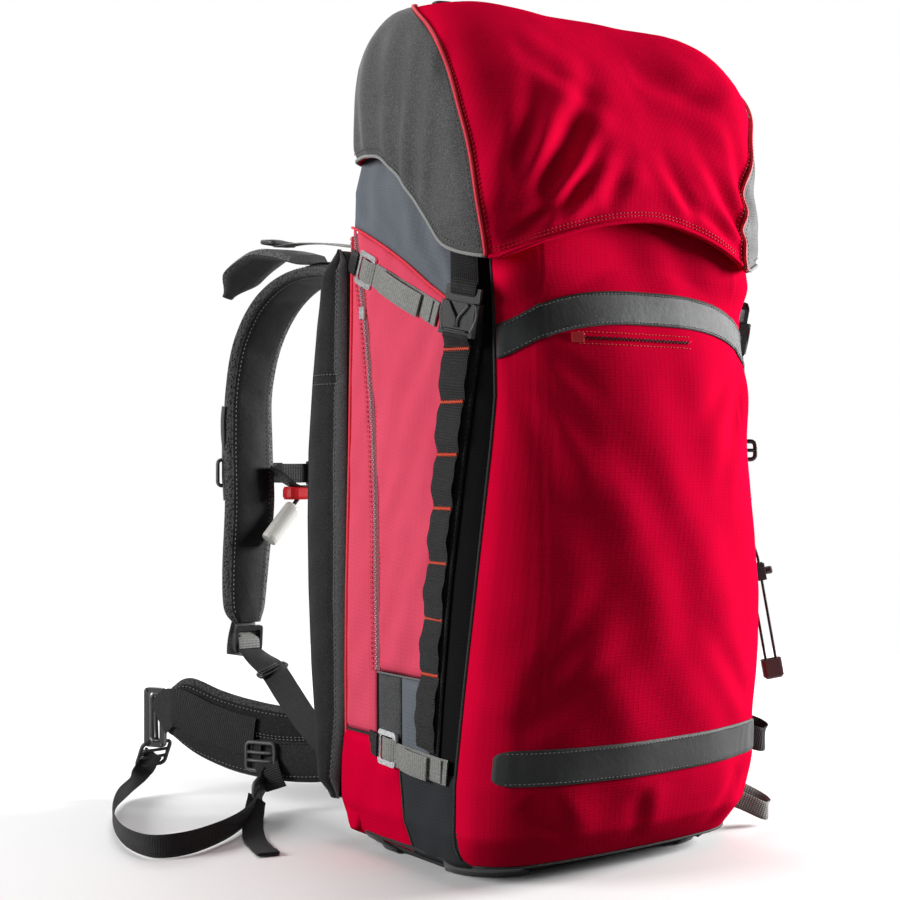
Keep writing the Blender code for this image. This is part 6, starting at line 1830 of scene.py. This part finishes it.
tl = strap("leg_strap_tail", tpath, [Vector((1, 0.45, 0.0)) for _ in range(44)], 0.0097, 0.0016, WEB_BLACK, "pack", slot="black_webbing")
te = strap("leg_strap_tail_end", [tpath[-1] + (tpath[-1] - tpath[-2]).normalized() * (-0.012 + 0.012 * k / 5) + Vector((0, 0, 0.0015)) for k in range(6)], (1, 0.45, 0), 0.0097, 0.0014, WEB_BLACK, "pack", slot="black_webbing")

# ------------------------------------------------------------------ gear cord on the right side
R_AX = Vector((0.809, -0.588, 0.0))
U0, U1 = Vector((0.1650, -0.0910, 0.2440)), Vector((0.1800, -0.1000, 0.1480))
uu_ = (U1 - U0).normalized()
off_ = (R_AX - uu_ * R_AX.dot(uu_)).normalized()
HC = 0.0045
a0, a1, b0_, b1_ = U0 - off_ * HC, U1 - off_ * HC, U0 + off_ * HC, U1 + off_ * HC
turn = [U1 + uu_ * (HC * math.sin(math.radians(s))) - off_ * (HC * math.cos(math.radians(s))) for s in (30, 60, 90, 120, 150)]
down = smooth_path([(0.1560, -0.0862, 0.4240), (0.1580, -0.0865, 0.4080), (0.1590, -0.0865, 0.3800), (0.1585, -0.0868, 0.3400), (0.1585, -0.0872, 0.3000), (0.1595, -0.0880, 0.2700), tuple(a0)], 26)
line1 = [a0 + (a1 - a0) * (k / 9) for k in range(1, 10)]
line2 = [b1_ + (b0_ - b1_) * (k / 9) for k in range(0, 10)]
upr = smooth_path([tuple(b0_), tuple(b0_ - uu_ * 0.012 - off_ * 0.002), (0.1615, -0.0835, 0.2680), (0.1600, -0.0800, 0.2780)], 8)[1:]
cpath = down + line1 + turn + line2 + upr
CORD = webbing_mat("braided_cord", (0.010, 0.010, 0.011), (0.085, 0.085, 0.085), 0.6, 0.0012)
gc = rod("gear_cord_braid", cpath, 0.00125, CORD, "pack", ["gear_cord"], "cord", seg=10)
# loops, hooks and toggles of that side
hook = Vector((0.1590, -0.0866, 0.3400))
ladder_lock("cord_hook", hook + Vector((0.0030, -0.0020, 0)), (0.809, -0.588, 0), (0, 0, 1), (-0.588, -0.809, 0), (0.012, 0.016), PLASTIC, "pack", bars=1, thick=0.0030)
rod("cord_bead", [Vector((0.1588, -0.0869, 0.3150 - 0.009 * k / 8)) for k in range(9)], lambda t: 0.0016 + 0.0017 * math.sin(math.pi * (0.1 + 0.8 * t)), PLASTIC, "pack", seg=12)
rod("red_cord_toggle", [Vector((0.1605, -0.0885, 0.3040)) + Vector((0.0010, -0.0006, -0.0110)) * (k / 10) for k in range(11)], lambda t: 0.0022 + 0.0012 * math.sin(math.pi * t), RED_PLASTIC, "pack", seg=12)
for nm, zc, w, mt, sz, dr in (("gear_loop_upper", 0.0910, 0.0105, WEB_BLACK, 0.043, 0.003), ("gear_loop_lower", 0.0370, 0.0080, WEB_GREY, 0.052, 0.016)):
    base_x = bag_side_x(-0.060, zc)
    p0, p1 = Vector((base_x + 0.0012, -0.0560, zc)), Vector((base_x + 0.0012, -0.0640, zc - 0.004))
    loop_ = smooth_path([p0, p0 + Vector((sz * 0.45, -0.004, 0.003 - dr * 0.45)), p0 + Vector((sz * 0.86, -0.010, -0.001 - dr * 0.86)), p0 + Vector((sz, -0.016, -0.006 - dr)), p1 + Vector((sz * 0.84, -0.014, -0.006 - dr * 0.84)), p1 + Vector((sz * 0.42, -0.007, -0.002 - dr * 0.42)), p1], 40)
    strap(nm, loop_, (0, 0, 1), w, 0.0016, mt, "pack", slot="black_webbing" if mt is WEB_BLACK else "grey_webbing")

# webbing that carries the trigger socket on the strap's inner edge, and the neck of the handle
strap("trigger_holder", smooth_path([Vector((-0.0760, 0.3490, 0.3215)), Vector((-0.0690, 0.3440, 0.3165)), Vector((-0.0610, 0.3385, 0.3090)), Vector((-0.0540, 0.3350, 0.3046)), Vector((-0.0430, 0.3345, 0.3042)), Vector((-0.0300, 0.3345, 0.3042))], 24), (0, 1, 0), 0.0130, 0.0014, WEB_BLACK, "harness_left", slot="black_webbing")
rod("trigger_neck", [Vector((-0.0600, 0.3362, 0.2790)).lerp(Vector((-0.0480, 0.3352, 0.2950)), k / 8) for k in range(9)], 0.0022, PLASTIC, "trigger", seg=12)


# ------------------------------------------------------------------ straps that cross a joint
for ob, side in ((ll, -1), (lr, 1)):
    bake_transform(ob)
for ob, side in ((sl, -1), (sr, 1)):
    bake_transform(ob)
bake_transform(leg)

# ------------------------------------------------------------------ finishes of the hard CAD pieces
FINISH = {PLASTIC: ["hood_buckle_female", "hood_buckle_male", "chest_buckle_female", "chest_buckle_male", "shoulder_buckle", "hip_buckle_frame", "hip_buckle_hook", "gear_cord_lock", "inflation_unit"], DARK_RED: ["gear_cord_end"],
          PLASTIC_GREY: ["gear_cord_lock_button"], METAL: ["compression_buckle", "frame_rod"], ZIPMETAL: ["side_zip_slider"], RED_PLASTIC: ["front_zip_slider", "trigger_socket"],
          CREAM: ["trigger_handle"], STEEL: ["gas_cartridge"], SHEET: ["frame_sheet"], HOSE: ["inflation_hose", "trigger_hose"]}
for name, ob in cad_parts.items():
    best = ""
    for mat, keys in FINISH.items():
        for k in keys:
            if name.startswith(k) and len(k) > len(best):
                best, use = k, mat
    if best:
        for slot_ in ob.material_slots:
            slot_.material = use


# ------------------------------------------------------------------ stage, sizes and finish
fl = mesh_object("floor", [(1.35 * math.cos(math.radians(3 * k)) + 0.05, 1.35 * math.sin(math.radians(3 * k)) + 0.10, -0.0004) for k in range(120)], [tuple(range(120))], FLOOR.m, smooth=False)
fl.visible_diffuse = False
fl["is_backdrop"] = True
VIS_BOX = plain(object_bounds())
